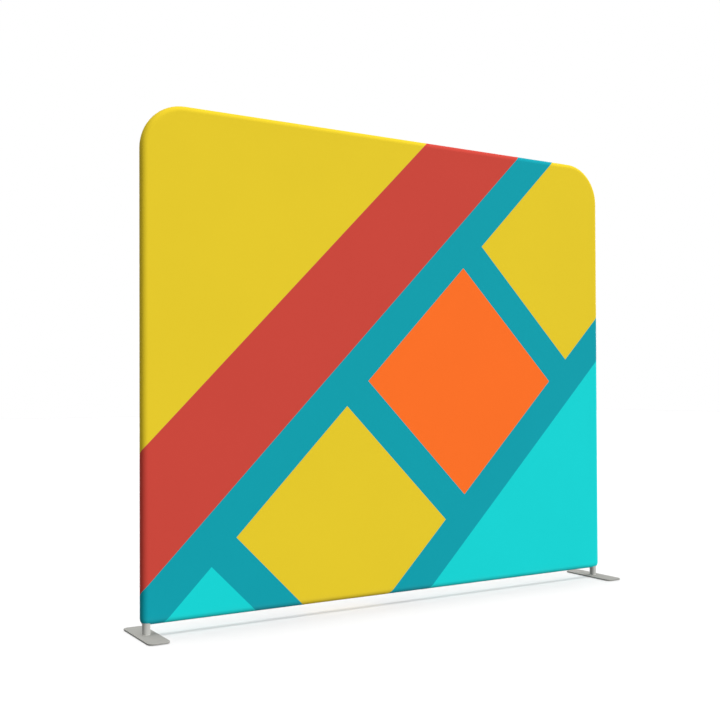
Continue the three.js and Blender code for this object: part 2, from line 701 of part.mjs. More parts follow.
const RIGHTWARD = new THREE.Vector3(1, 0, 0);
const UPWARD = new THREE.Vector3(0, 0, 1);
const LEFTWARD = RIGHTWARD.clone().negate();
const DOWNWARD = UPWARD.clone().negate();

/** Lays a tube that was made along Z along +X, its holes turned up (1) or down (-1). */
function layAlongX(mesh, up) {
  mesh.rotation.set(0, Math.PI / 2, up > 0 ? Math.PI : 0);
  return mesh;
}

/** Everything of one side of the frame: drawn as the left side, turned round for the right. */
function frameHalf(side) {
  const group = new THREE.Group();
  const place = (mesh, x, z) => {
    mesh.position.set(x, 0, z);
    group.add(mesh);
    return mesh;
  };
  const at = (x, z) => new THREE.Vector3(x, 0, z);
  const bendEnd = -HALF_SPAN + BEND_RADIUS + BEND_LEG;
  const neckTop = BOTTOM_LINE + CORNER_NECK;
  const armEnd = -HALF_SPAN + CORNER_ARM;

  place(piece(`${side}_bottom_corner`, bottomCorner(), MOULDED), -HALF_SPAN, BOTTOM_LINE);

  const uprightLength = UPRIGHT_JOINT - neckTop - SEAT;
  const upright = frameTube(uprightLength, { start: true, rivet: true });
  place(piece(`${side}_upright`, upright, ANODISED), -HALF_SPAN, neckTop + SEAT);
  place(piece(`${side}_top_bend`, topBend(), ANODISED), -HALF_SPAN, UPRIGHT_JOINT + SEAT);
  place(piece(`${side}_upright_coupler`, coupler(), ANODISED), -HALF_SPAN, UPRIGHT_JOINT);
  const topCoupler = piece(`${side}_top_coupler`, coupler(), ANODISED);
  layAlongX(place(topCoupler, bendEnd, TOP_LINE), -1);

  const topRail = frameTube(-TEE_ARM - bendEnd - 2 * SEAT, { start: true, end: true });
  layAlongX(place(piece(`${side}_top_rail`, topRail, ANODISED), bendEnd + SEAT, TOP_LINE), -1);
  const bottomRail = frameTube(-TEE_ARM - armEnd - 2 * SEAT, { start: true, end: true });
  layAlongX(place(piece(`${side}_bottom_rail`, bottomRail, ANODISED), armEnd + SEAT, BOTTOM_LINE), 1);

  const clip = (name, spec, joint, along, out) =>
    seatClip(group, `${side}_${name}`, spec, joint, along, out);
  clip("snap_corner_upright", FRAME_CLIP, at(-HALF_SPAN, neckTop), UPWARD, RIGHTWARD);
  clip("snap_upright_bend", FRAME_CLIP, at(-HALF_SPAN, UPRIGHT_JOINT), UPWARD, RIGHTWARD);
  clip("snap_bend_top_rail", FRAME_CLIP, at(bendEnd, TOP_LINE), RIGHTWARD, DOWNWARD);
  clip("snap_corner_bottom_rail", FRAME_CLIP, at(armEnd, BOTTOM_LINE), RIGHTWARD, UPWARD);
  clip("snap_tee_top_rail", FRAME_CLIP, at(-TEE_ARM, TOP_LINE), LEFTWARD, DOWNWARD);
  clip("snap_tee_bottom_rail", FRAME_CLIP, at(-TEE_ARM, BOTTOM_LINE), LEFTWARD, UPWARD);
  const stemRoot = BOTTOM_LINE + STEM_HOLE_RISE - STEM_CLIP.lever;
  clip("snap_stem", STEM_CLIP, at(-HALF_SPAN, stemRoot), UPWARD, RIGHTWARD);

  const standing = foot(side);
  standing.position.x = -HALF_SPAN;
  group.add(standing);
  if (side === "right") group.rotation.z = Math.PI;
  return group;
}

/** The two tees and the centre post between them. */
function centre() {
  const group = new THREE.Group();
  const place = (mesh, z) => {
    mesh.position.z = z;
    group.add(mesh);
    return mesh;
  };
  const at = (z) => new THREE.Vector3(0, 0, z);
  const [footOfPost, headOfPost] = [BOTTOM_LINE + BRANCH_NECK, TOP_LINE - BRANCH_NECK];
  const collar = POST_COLLAR / 2;
  place(piece("bottom_tee", tee(), MOULDED), BOTTOM_LINE);
  place(piece("top_tee", tee(), MOULDED), TOP_LINE).rotation.x = Math.PI;

  const lower = postTube(POST_JOINT - collar - footOfPost - 2 * SEAT);
  const upper = postTube(headOfPost - POST_JOINT - collar - 2 * SEAT);
  place(piece("centre_post_lower", lower, ANODISED), footOfPost + SEAT);
  place(piece("centre_post_upper", upper, ANODISED), POST_JOINT + collar + SEAT);
  place(piece("centre_post_coupler", postCoupler(), MOULDED), POST_JOINT);

  seatClip(group, "snap_post_foot", POST_CLIP, at(footOfPost), UPWARD, RIGHTWARD);
  seatClip(group, "snap_post_joint_lower", POST_CLIP, at(POST_JOINT - collar), DOWNWARD, RIGHTWARD);
  seatClip(group, "snap_post_joint_upper", POST_CLIP, at(POST_JOINT + collar), UPWARD, RIGHTWARD);
  seatClip(group, "snap_post_head", POST_CLIP, at(headOfPost), DOWNWARD, RIGHTWARD);
  return group;
}

const wall = new THREE.Group();
wall.add(frameHalf("left"), frameHalf("right"), centre(), cover(), zip());

export default wall;
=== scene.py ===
"""A free-standing display backwall, dressed for its picture.

A printed knit cover is stretched over a plug-together tube frame and closed by a zip low on its
back. The wall stands on two flat steel feet. Metres: +X to the right as seen from the front, +Y to
the back, +Z up.
"""

import logging
import math
from collections.abc import Callable, Sequence
from dataclasses import dataclass, field
from enum import Enum
from typing import ClassVar

import bmesh
import bpy
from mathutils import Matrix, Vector, noise


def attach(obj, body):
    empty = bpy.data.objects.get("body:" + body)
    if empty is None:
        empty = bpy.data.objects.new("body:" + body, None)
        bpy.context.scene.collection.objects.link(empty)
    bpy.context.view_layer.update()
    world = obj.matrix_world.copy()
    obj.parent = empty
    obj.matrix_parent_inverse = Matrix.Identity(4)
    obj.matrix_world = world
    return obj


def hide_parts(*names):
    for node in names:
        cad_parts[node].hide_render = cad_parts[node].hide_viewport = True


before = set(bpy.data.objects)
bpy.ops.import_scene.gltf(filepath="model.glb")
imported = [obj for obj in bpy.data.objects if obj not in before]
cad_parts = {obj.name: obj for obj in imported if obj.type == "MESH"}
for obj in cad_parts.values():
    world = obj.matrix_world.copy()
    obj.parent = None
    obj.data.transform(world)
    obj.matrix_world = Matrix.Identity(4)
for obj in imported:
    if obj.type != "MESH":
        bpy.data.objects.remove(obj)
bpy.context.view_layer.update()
log = logging.getLogger("backwall")

Point = tuple[float, float, float]
Flat = tuple[float, float]
Colour = tuple[float, float, float, float]
Socket = bpy.types.NodeSocket
Given = Socket | float | Sequence[float]

MM = 0.001
NEAR = 1e-6  # points nearer than this are one point
FINE = 1e-8  # the same, on the small metal pieces
CLOTH_SHARE = 0.86  # of the light, what the printed cloth gives back
FULL_WEAR_TURN = 24.0  # an edge that turns by as many degrees wears fully
BEVEL_STEPS = 4
BEVEL_MARGIN = 2.2  # bevels from an edge to the flat of its face
OFF_SEAM = (0.0, -1.0)  # where the seam's map puts what lies on no seam


class Side(Enum):
    """The two ends of the wall, as seen from the front."""

    LEFT = "left"
    RIGHT = "right"

    @property
    def sign(self) -> float:
        """-1 at the left end and 1 at the right."""
        return -1.0 if self is Side.LEFT else 1.0


class Ink(Enum):
    """The five inks of the print, as display values from 0 to 255."""

    TEAL = (9, 158, 172)
    YELLOW = (229, 201, 41)
    RED = (202, 70, 58)
    TURQUOISE = (18, 212, 212)
    ORANGE = (252, 112, 36)

    @property
    def colour(self) -> Colour:
        """The ink's linear colour on the cloth."""
        return display_colour(*self.value, share=CLOTH_SHARE)


def display_colour(red: float, green: float, blue: float, share: float = 1.0) -> Colour:
    """Turns display values into a linear colour.

    Args:
        red: 0 to 255.
        green: 0 to 255.
        blue: 0 to 255.
        share: How much of the light the surface gives back, because the studio lights it above 1.

    Returns:
        A linear RGBA colour.
    """
    def linear(value: float) -> float:
        """One channel, without the sRGB curve."""
        level = value / 255.0
        return level / 12.92 if level <= 0.04045 else ((level + 0.055) / 1.055) ** 2.4

    return (share * linear(red), share * linear(green), share * linear(blue), 1.0)


def dimmed(colour: Colour, share: float) -> Colour:
    """A colour that gives back only a share of its light."""
    return tuple(part * share for part in colour[:3]) + (1.0,)


# ---------------------------------------------------------------- node trees


class Graph:
    """A node tree being wired, with short calls for the nodes that the finishes use."""

    def __init__(self, tree: bpy.types.NodeTree) -> None:
        """Starts on an empty or new tree."""
        self.tree = tree

    def node(self, kind: str, **settings: object) -> bpy.types.Node:
        """Adds a node.

        Args:
            kind: The kind of node.
            **settings: The node's own settings.

        Returns:
            The new node.
        """
        node = self.tree.nodes.new(kind)
        for name, value in settings.items():
            setattr(node, name, value)
        return node

    def feed(self, socket: Socket, value: Given) -> None:
        """Links a socket, or sets its value.

        Args:
            socket: The input that is fed.
            value: An output, or a constant.
        """
        if isinstance(value, bpy.types.NodeSocket):
            self.tree.links.new(value, socket)
        else:
            socket.default_value = value

    def math(self, operation: str, first: Given, second: Given = 0.0, third: Given = 0.0) -> Socket:
        """Adds a math node.

        Args:
            operation: What it works out.
            first: Its first term.
            second: Its second term.
            third: Its third term.

        Returns:
            The result.
        """
        node = self.node("ShaderNodeMath", operation=operation)
        for socket, value in zip(node.inputs, (first, second, third)):
            self.feed(socket, value)
        return node.outputs[0]

    def vector(self, operation: str, first: Given, second: Given) -> bpy.types.Node:
        """Adds a vector math node.

        Args:
            operation: What it works out.
            first: Its first vector.
            second: Its second vector.

        Returns:
            The node, as its result may be a vector or a value.
        """
        node = self.node("ShaderNodeVectorMath", operation=operation)
        self.feed(node.inputs[0], first)
        self.feed(node.inputs[1], second)
        return node

    def parts(self, vector: Given) -> Sequence[Socket]:
        """Splits a vector.

        Args:
            vector: The vector.

        Returns:
            Its three parts.
        """
        node = self.node("ShaderNodeSeparateXYZ")
        self.feed(node.inputs[0], vector)
        return node.outputs

    def mix(self, factor: Given, first: Given, second: Given, blend: str = "MIX") -> Socket:
        """Mixes two colours.

        Args:
            factor: How much of the second there is.
            first: The first colour.
            second: The second colour.
            blend: How they are mixed.

        Returns:
            The mixed colour.
        """
        node = self.node("ShaderNodeMix", data_type="RGBA", blend_type=blend)
        self.feed(node.inputs[0], factor)
        self.feed(node.inputs[6], first)
        self.feed(node.inputs[7], second)
        return node.outputs[2]

    def shaded(self, colour: Given, shade: Socket) -> Socket:
        """Darkens a colour.

        Args:
            colour: The colour.
            shade: How much of it is left, from 0 to 1.

        Returns:
            The darkened colour.
        """
        tone = self.node("ShaderNodeCombineColor")
        for socket in tone.inputs[:3]:
            self.feed(socket, shade)
        return self.mix(1.0, colour, tone.outputs[0], "MULTIPLY")

    def span(self, value: Given, low: float, high: float, to_low: float = 0.0, to_high: float = 1.0) -> Socket:
        """Maps a value smoothly from one range to another, and holds it there.

        Args:
            value: The value.
            low: Where its range starts.
            high: Where its range ends.
            to_low: What the start becomes.
            to_high: What the end becomes.

        Returns:
            The mapped value.
        """
        node = self.node("ShaderNodeMapRange", interpolation_type="SMOOTHSTEP")
        for socket, setting in zip(node.inputs, (value, low, high, to_low, to_high)):
            self.feed(socket, setting)
        return node.outputs[0]

    def noise(self, vector: Given, scale: Given, detail: float = 2.0) -> Socket:
        """Adds a noise.

        Args:
            vector: Where it is read.
            scale: How fine it is.
            detail: How many finer noises it holds.

        Returns:
            Its value.
        """
        node = self.node("ShaderNodeTexNoise")
        self.feed(node.inputs["Vector"], vector)
        self.feed(node.inputs["Scale"], scale)
        node.inputs["Detail"].default_value = detail
        return node.outputs[0]

    def flat(self, name: str) -> Socket:
        """The coordinates of one of the piece's flat maps."""
        return self.node("ShaderNodeUVMap", uv_map=name).outputs[0]

    def place(self) -> Socket:
        """The point of the surface, in the piece's own frame."""
        return self.node("ShaderNodeTexCoord").outputs["Object"]

    def relief(self, height: Socket) -> Socket:
        """Bends the surface's normal.

        Args:
            height: The relief's height in metres.

        Returns:
            The bent normal.
        """
        bump = self.node("ShaderNodeBump")
        bump.inputs["Distance"].default_value = 1.0
        self.feed(bump.inputs["Height"], height)
        return bump.outputs[0]


class Effect:
    """A shader node group that several finishes share. It is built once."""

    NAME: ClassVar[str]
    INPUTS: ClassVar[dict[str, float | Sequence[float]]]
    OUTPUTS: ClassVar[dict[str, str]]

    @classmethod
    def wire(cls, graph: Graph, given: dict[str, Socket]) -> dict[str, Socket]:
        """Wires the inside of the group.

        Args:
            graph: The group's tree.
            given: The group's inputs by name.

        Returns:
            What each output is fed from.
        """
        raise NotImplementedError

    @classmethod
    def tree(cls) -> bpy.types.NodeTree:
        """Builds the group's tree on its first use.

        Returns:
            The tree.
        """
        known = bpy.data.node_groups.get(cls.NAME)
        if known:
            return known
        tree = bpy.data.node_groups.new(cls.NAME, "ShaderNodeTree")
        for name, start in cls.INPUTS.items():
            kind = "NodeSocketFloat" if isinstance(start, float) else "NodeSocketVector"
            socket = tree.interface.new_socket(name=name, in_out="INPUT", socket_type=kind)
            socket.default_value = start
        for name, kind in cls.OUTPUTS.items():
            tree.interface.new_socket(name=name, in_out="OUTPUT", socket_type=kind)
        graph = Graph(tree)
        entry, end = graph.node("NodeGroupInput"), graph.node("NodeGroupOutput")
        results = cls.wire(graph, {name: entry.outputs[name] for name in cls.INPUTS})
        for name, socket in results.items():
            graph.feed(end.inputs[name], socket)
        return tree

    @classmethod
    def use(cls, graph: Graph, **values: Given) -> dict[str, Socket]:
        """Places the group in a finish.

        Args:
            graph: The finish's tree.
            **values: The group's inputs, with spaces in their names written as underscores.

        Returns:
            The group's outputs by name.
        """
        node = graph.node("ShaderNodeGroup", node_tree=cls.tree())
        for name, value in values.items():
            graph.feed(node.inputs[name.replace("_", " ")], value)
        return {name: node.outputs[name] for name in cls.OUTPUTS}


class KnitStitch(Effect):
    """A fine warp knit: ribs along the cloth, each a chain of small loops."""

    NAME = "knit_stitch"
    INPUTS = {"Cloth": (0.0, 0.0, 0.0), "Wale": 0.0007, "Course": 0.0006}
    OUTPUTS = {"Height": "NodeSocketFloat", "Shade": "NodeSocketFloat"}

    @classmethod
    def wire(cls, graph: Graph, given: dict[str, Socket]) -> dict[str, Socket]:
        """Ribs from one sine and loops from another, bent by the ribs. The shade is a random yarn tone with painted
        shade in the hollows.

        Args:
            graph: The group's tree.
            given: The group's inputs by name.

        Returns:
            What each output is fed from.
        """
        across = graph.parts(given["Cloth"])
        wales = graph.math("MULTIPLY", graph.math("DIVIDE", across[0], given["Wale"]), math.pi)
        rib = graph.math("ABSOLUTE", graph.math("SINE", wales))
        courses = graph.math("MULTIPLY", graph.math("DIVIDE", across[1], given["Course"]), math.tau)
        loop = graph.math("SINE", graph.math("MULTIPLY_ADD", rib, 2.4, courses))
        height = graph.math("MULTIPLY_ADD", loop, 0.25, graph.math("MULTIPLY_ADD", rib, 0.5, 0.25))
        yarn = graph.noise(given["Cloth"], 900.0, 1.0)
        # Shade: a random yarn tone, and painted shade that darkens the hollows of the knit.
        shade = graph.math("MULTIPLY_ADD", height, 0.05, graph.math("MULTIPLY_ADD", yarn, 0.03, 0.945))
        return {"Height": height, "Shade": shade}


class PlainWeave(Effect):
    """A woven tape: threads that pass over and under each other."""

    NAME = "plain_weave"
    INPUTS = {"Cloth": (0.0, 0.0, 0.0), "Pitch": 0.0006}
    OUTPUTS = {"Height": "NodeSocketFloat", "Shade": "NodeSocketFloat"}

    @classmethod
    def wire(cls, graph: Graph, given: dict[str, Socket]) -> dict[str, Socket]:
        """Warp and weft, with the one on top chosen like a chequerboard.

        Args:
            graph: The group's tree.
            given: The group's inputs by name.

        Returns:
            What each output is fed from.
        """
        across = graph.parts(given["Cloth"])
        waves = [
            graph.math("SINE", graph.math("MULTIPLY", graph.math("DIVIDE", axis, given["Pitch"]), math.pi))
            for axis in across[:2]
        ]
        warp, weft = (graph.math("ABSOLUTE", wave) for wave in waves)
        over = graph.span(graph.math("MULTIPLY", *waves), -0.08, 0.08)
        under = graph.math("SUBTRACT", 1.0, over)
        height = graph.math("MULTIPLY_ADD", warp, over, graph.math("MULTIPLY", weft, under))
        # Shade is painted shade: the threads are darker where they dip.
        shade = graph.math("MULTIPLY_ADD", height, 0.16, 0.84)
        return {"Height": height, "Shade": shade}


class SurfaceGrain(Effect):
    """The fine unevenness of a coating, a moulding or a rolled metal."""

    NAME = "surface_grain"
    INPUTS = {"Place": (0.0, 0.0, 0.0), "Stretch": (1.0, 1.0, 1.0), "Scale": 900.0}
    OUTPUTS = {"Height": "NodeSocketFloat", "Cloud": "NodeSocketFloat"}

    @classmethod
    def wire(cls, graph: Graph, given: dict[str, Socket]) -> dict[str, Socket]:
        """A fine noise for the height and a broad one for the clouding.

        Args:
            graph: The group's tree.
            given: The group's inputs by name.

        Returns:
            What each output is fed from.
        """
        drawn = graph.vector("MULTIPLY", given["Place"], given["Stretch"]).outputs[0]
        height = graph.noise(drawn, given["Scale"], 3.0)
        cloud = graph.noise(given["Place"], 9.0, 3.0)
        return {"Height": height, "Cloud": graph.span(cloud, 0.3, 0.7)}


class EdgeWear(Effect):
    """Rubbed places along a piece's edges."""

    NAME = "edge_wear"
    INPUTS = {"Place": (0.0, 0.0, 0.0), "Edge": 0.0, "Reach": 0.5}
    OUTPUTS = {"Mask": "NodeSocketFloat"}

    @classmethod
    def wire(cls, graph: Graph, given: dict[str, Socket]) -> dict[str, Socket]:
        """The edge's own mask, broken up by two sizes of noise.

        Args:
            graph: The group's tree.
            given: The group's inputs by name.

        Returns:
            What each output is fed from.
        """
        broad = graph.noise(given["Place"], 45.0, 2.0)
        fine = graph.noise(given["Place"], 600.0, 2.0)
        broken = graph.math("MULTIPLY_ADD", fine, 0.5, graph.math("MULTIPLY", broad, 0.9))
        rubbed = graph.math("MULTIPLY", given["Edge"], broken)
        worn = graph.math("ADD", rubbed, graph.math("SUBTRACT", given["Reach"], 1.0))
        return {"Mask": graph.span(worn, 0.0, 0.3)}


class SettledDust(Effect):
    """Dust and light soiling that gathers low down."""

    NAME = "settled_dust"
    INPUTS = {"Place": (0.0, 0.0, 0.0), "Height": 0.1, "Amount": 0.2}
    OUTPUTS = {"Mask": "NodeSocketFloat"}

    @classmethod
    def wire(cls, graph: Graph, given: dict[str, Socket]) -> dict[str, Socket]:
        """Thins out with height, in soft patches.

        Args:
            graph: The group's tree.
            given: The group's inputs by name.

        Returns:
            What each output is fed from.
        """
        across = graph.parts(given["Place"])
        level = graph.math("DIVIDE", across[2], given["Height"])
        low = graph.span(level, 0.0, 1.0, 1.0, 0.0)
        patches = graph.span(graph.noise(given["Place"], 14.0, 4.0), 0.35, 0.75, 0.3, 1.0)
        return {"Mask": graph.math("MULTIPLY", given["Amount"], graph.math("MULTIPLY", low, patches))}


class SeamPucker(Effect):
    """The small gathers that a sewn seam draws into a stretched cloth."""

    NAME = "seam_pucker"
    INPUTS = {"Seam": (0.0, 0.0, 0.0), "Pitch": 0.011, "Reach": 0.016}
    OUTPUTS = {"Height": "NodeSocketFloat", "Shade": "NodeSocketFloat"}

    @classmethod
    def wire(cls, graph: Graph, given: dict[str, Socket]) -> dict[str, Socket]:
        """Waves along the seam that die out away from it, and painted shade that darkens the cloth near the seam.

        Args:
            graph: The group's tree.
            given: The group's inputs by name.

        Returns:
            What each output is fed from.
        """
        across = graph.parts(given["Seam"])
        far = graph.math("DIVIDE", graph.math("ABSOLUTE", across[1]), given["Reach"])
        near = graph.span(far, 0.0, 1.0, 1.0, 0.0)
        drift = graph.noise(given["Seam"], 30.0, 1.0)
        along = graph.math("DIVIDE", across[0], given["Pitch"])
        wave = graph.math("SINE", graph.math("MULTIPLY_ADD", drift, 9.0, graph.math("MULTIPLY", along, math.tau)))
        height = graph.math("MULTIPLY", near, graph.math("MULTIPLY_ADD", wave, 0.5, 0.5))
        # Shade is painted shade, up to 6 percent darker close to the seam.
        return {"Height": height, "Shade": graph.math("MULTIPLY_ADD", near, -0.06, 1.0)}


ROW = 0.65  # the middle of the row of diamonds, across the bands
HALF_DIAMOND = 0.53


@dataclass(frozen=True)
class Motif:
    """One shape of the print: where it lies, measured along the cloth's two diagonals.

    rising is v - u and falling is u + v, in metres. A bound that isn't there is open.
    """

    ink: Ink
    rising: tuple[float | None, float | None]
    falling: tuple[float | None, float | None] = (None, None)


def diamond(ink: Ink, falling: float) -> Motif:
    """A square of the row that stands on its corner, from its middle along the row."""
    return Motif(ink, (ROW - HALF_DIAMOND, ROW + HALF_DIAMOND), (falling - HALF_DIAMOND, falling + HALF_DIAMOND))


class PrintDesign(Effect):
    """The cover's print: plain bands, a corner triangle and a row of diamonds, all at 45 degrees."""

    NAME = "print_design"
    INPUTS = {"Cloth": (0.0, 0.0, 0.0)}
    OUTPUTS = {"Colour": "NodeSocketColor"}
    GROUND: ClassVar[Ink] = Ink.TEAL
    EDGE: ClassVar[float] = 0.0006
    MOTIFS: ClassVar[tuple[Motif, ...]] = (
        Motif(Ink.YELLOW, (1.95, None)),
        Motif(Ink.RED, (1.40, 1.95)),
        Motif(Ink.TURQUOISE, (None, -0.10)),
        diamond(Ink.TURQUOISE, -1.21),
        diamond(Ink.YELLOW, 0.07),
        diamond(Ink.ORANGE, 1.35),
        Motif(Ink.YELLOW, (0.12, 1.18), (2.10, None)),
    )

    @classmethod
    def beyond(cls, graph: Graph, cloth: Socket, direction: Point, bound: float) -> Socket:
        """Parts the cloth along a straight line.

        Args:
            graph: The group's tree.
            cloth: The point of the cloth.
            direction: The way across the line.
            bound: Where the line lies along that way.

        Returns:
            1 past the line and 0 before it.
        """
        reach = graph.vector("DOT_PRODUCT", cloth, direction).outputs["Value"]
        return graph.span(reach, bound - cls.EDGE, bound + cls.EDGE)

    @classmethod
    def wire(cls, graph: Graph, given: dict[str, Socket]) -> dict[str, Socket]:
        """Lays each motif over those before it.

        Args:
            graph: The group's tree.
            given: The group's inputs by name.

        Returns:
            What each output is fed from.
        """
        cloth, colour = given["Cloth"], cls.GROUND.colour
        for motif in cls.MOTIFS:
            mask: Given = 1.0
            for (low, high), way in ((motif.rising, (-1.0, 1.0, 0.0)), (motif.falling, (1.0, 1.0, 0.0))):
                if low is not None:
                    mask = graph.math("MULTIPLY", mask, cls.beyond(graph, cloth, way, low))
                if high is not None:
                    back = tuple(-part for part in way)
                    mask = graph.math("MULTIPLY", mask, cls.beyond(graph, cloth, back, -high))
            colour = graph.mix(mask, colour, motif.ink.colour)
        return {"Colour": colour}


# ---------------------------------------------------------------- finishes


DUST = display_colour(176, 172, 164)


@dataclass(frozen=True)
class Finish:
    """The look of one material. Its constants go straight on the shader."""

    name: str
    colour: Colour = (0.5, 0.5, 0.5, 1.0)
    roughness: float = 0.5
    metallic: float = 0.0
    specular: float = 0.5
    made: ClassVar[dict[str, bpy.types.Material]] = {}

    def material(self) -> bpy.types.Material:
        """Makes the finish's material on its first use.

        Returns:
            The material.
        """
        if self.name in self.made:
            return self.made[self.name]
        material = self.made[self.name] = bpy.data.materials.new(self.name)
        material.use_nodes = True
        material.node_tree.nodes.clear()
        graph = Graph(material.node_tree)
        shader = graph.node("ShaderNodeBsdfPrincipled")
        constants = {
            "Base Color": self.colour, "Roughness": self.roughness,
            "Metallic": self.metallic, "Specular IOR Level": self.specular,
        }
        for name, value in constants.items():
            shader.inputs[name].default_value = value
        graph.feed(graph.node("ShaderNodeOutputMaterial").inputs["Surface"], shader.outputs[0])
        self.paint(graph, shader)
        return material

    def paint(self, graph: Graph, shader: bpy.types.Node) -> None:
        """Wires what changes over the surface."""
        raise NotImplementedError

    def dusted(self, graph: Graph, colour: Given, height: float, amount: float) -> Socket:
        """A colour under settled dust."""
        dust = SettledDust.use(graph, Place=graph.place(), Height=height, Amount=amount)
        return graph.mix(dust["Mask"], colour, DUST)


@dataclass(frozen=True)
class StretchKnit(Finish):
    """Stretch polyester knit, printed or plain."""

    roughness: float = 0.8
    specular: float = 0.08
    sheen: float = 1.0
    printed: bool = False
    relief: float = 0.00003
    gathers: float = 0.0004
    sheen_roughness: float = 0.14

    def paint(self, graph: Graph, shader: bpy.types.Node) -> None:
        """Wires ink or plain yarn, the stitch of the knit, seam gathers, painted shade in the knit's hollows and
        along the seams, and a little floor dust.

        Args:
            graph: The material's tree.
            shader: Its shader.
        """
        cloth = graph.flat("cloth")
        knit = KnitStitch.use(graph, Cloth=cloth)
        seam = SeamPucker.use(graph, Seam=graph.flat("seam"))
        dye = graph.span(graph.noise(cloth, 2.2, 3.0), 0.3, 0.7, 0.985, 1.0)
        # shade holds the dye's random tone and the painted shade of the knit's hollows and the seams.
        shade = graph.math("MULTIPLY", dye, graph.math("MULTIPLY", knit["Shade"], seam["Shade"]))
        ground = PrintDesign.use(graph, Cloth=cloth)["Colour"] if self.printed else self.colour
        toned = graph.shaded(ground, shade)
        graph.feed(shader.inputs["Base Color"], self.dusted(graph, toned, 0.09, 0.1))
        dull, bright = self.roughness + 0.08, self.roughness - 0.05
        graph.feed(shader.inputs["Roughness"], graph.span(knit["Height"], 0.0, 1.0, dull, bright))
        gathered = graph.math("MULTIPLY", seam["Height"], self.gathers)
        height = graph.math("MULTIPLY_ADD", knit["Height"], self.relief, gathered)
        graph.feed(shader.inputs["Normal"], graph.relief(height))
        shader.inputs["Sheen Weight"].default_value = self.sheen
        shader.inputs["Sheen Roughness"].default_value = self.sheen_roughness


@dataclass(frozen=True)
class WovenTape(Finish):
    """Woven polyester tape."""

    roughness: float = 0.75
    specular: float = 0.3
    pitch: float = 0.0006
    relief: float = 0.0001
    sheen: float = 0.2

    def paint(self, graph: Graph, shader: bpy.types.Node) -> None:
        """Wires threads in relief, with painted shade where they dip.

        Args:
            graph: The material's tree.
            shader: Its shader.
        """
        cloth = graph.flat("cloth")
        weave = PlainWeave.use(graph, Cloth=cloth, Pitch=self.pitch)
        # The tape's colour takes the weave's painted shade in the dips.
        toned = graph.shaded(self.colour, weave["Shade"])
        graph.feed(shader.inputs["Base Color"], self.dusted(graph, toned, 0.12, 0.12))
        graph.feed(shader.inputs["Normal"], graph.relief(graph.math("MULTIPLY", weave["Height"], self.relief)))
        shader.inputs["Sheen Weight"].default_value = self.sheen


@dataclass(frozen=True)
class SolidFinish(Finish):
    """A coated, moulded or bare surface: grain, clouding, rubbed edges and dust."""

    scale: float = 900.0
    stretch: Point = (1.0, 1.0, 1.0)
    relief: float = 0.00001
    clouding: float = 0.06
    worn: Colour = (0.5, 0.5, 0.5, 1.0)
    worn_metal: float = 0.0
    wear: float = 0.0
    dust: float = 0.0

    def paint(self, graph: Graph, shader: bpy.types.Node) -> None:
        """Wires grain in the relief and the gloss, wear on the edges and dust low down.

        Args:
            graph: The material's tree.
            shader: Its shader.
        """
        place = graph.place()
        grain = SurfaceGrain.use(graph, Place=place, Stretch=self.stretch, Scale=self.scale)
        edge = graph.node("ShaderNodeAttribute", attribute_name="edge").outputs["Fac"]
        worn = EdgeWear.use(graph, Place=place, Edge=edge, Reach=self.wear)["Mask"]
        colour = graph.mix(grain["Cloud"], dimmed(self.colour, 1.0 - self.clouding), self.colour)
        colour = graph.mix(worn, colour, self.worn)
        graph.feed(shader.inputs["Base Color"], self.dusted(graph, colour, 0.05, self.dust))
        gloss = graph.math("MULTIPLY_ADD", grain["Cloud"], 0.07, self.roughness - 0.03)
        graph.feed(shader.inputs["Roughness"], gloss)
        if self.worn_metal and self.metallic < 1.0:
            graph.feed(shader.inputs["Metallic"], graph.math("MULTIPLY", worn, self.worn_metal))
        height = graph.math("MULTIPLY", grain["Height"], self.relief)
        graph.feed(shader.inputs["Normal"], graph.relief(height))


PRINTED_KNIT = StretchKnit("printed_knit", printed=True)
LINING_KNIT = StretchKnit("lining_knit", display_colour(226, 226, 222))
ZIP_TAPE = WovenTape("tape_weave", display_colour(186, 186, 181))
BINDING = WovenTape("edge_binding", display_colour(190, 190, 186), pitch=0.0009)
THREAD = SolidFinish("sewing_thread", display_colour(200, 200, 195), 0.6, scale=2600.0, relief=0.00004)
COIL = SolidFinish("zip_coil", display_colour(204, 204, 199), 0.38, scale=1500.0, relief=0.000006)
ZIP_METAL = SolidFinish(
    "zip_plating", display_colour(158, 156, 151), 0.34, 1.0, scale=1800.0, relief=0.000006,
    worn=display_colour(226, 224, 218), wear=0.55,
)
POWDER_COAT = SolidFinish(
    "plate_coating", display_colour(150, 150, 146), 0.72, specular=0.02, scale=850.0, relief=0.00002,
    worn=display_colour(186, 186, 182), worn_metal=0.4, wear=0.42, dust=0.15,
)
# A lighter copy of the plate's powder coat: painted light that lifts the stems out of the shade under the wall.
STEM_COAT_PAINTED_LIGHTER = SolidFinish(
    "stem_coating_painted_lighter", display_colour(176, 176, 172), 0.62, specular=0.1, scale=850.0, relief=0.00002, dust=0.15,
)
ANODISED = SolidFinish(
    "tube_anodising", display_colour(204, 206, 208), 0.36, 1.0, scale=500.0, stretch=(1.0, 1.0, 0.2), relief=0.000008,
)
MOULDED = SolidFinish(
    "connector_moulding", display_colour(62, 65, 68), 0.55, scale=1100.0, relief=0.00003, clouding=0.12,
)
SPRING_STEEL = SolidFinish(
    "sprung_leaf", display_colour(176, 178, 182), 0.28, 1.0, scale=1400.0, relief=0.000004,
    worn=display_colour(214, 214, 216), wear=0.5,
)
RUBBER = SolidFinish(
    "pad_rubber", display_colour(44, 45, 47), 0.85, specular=0.3, scale=700.0, relief=0.00006, dust=0.4,
)
NYLON = SolidFinish("washer_nylon", display_colour(222, 222, 214), 0.45, scale=1300.0, relief=0.000008)


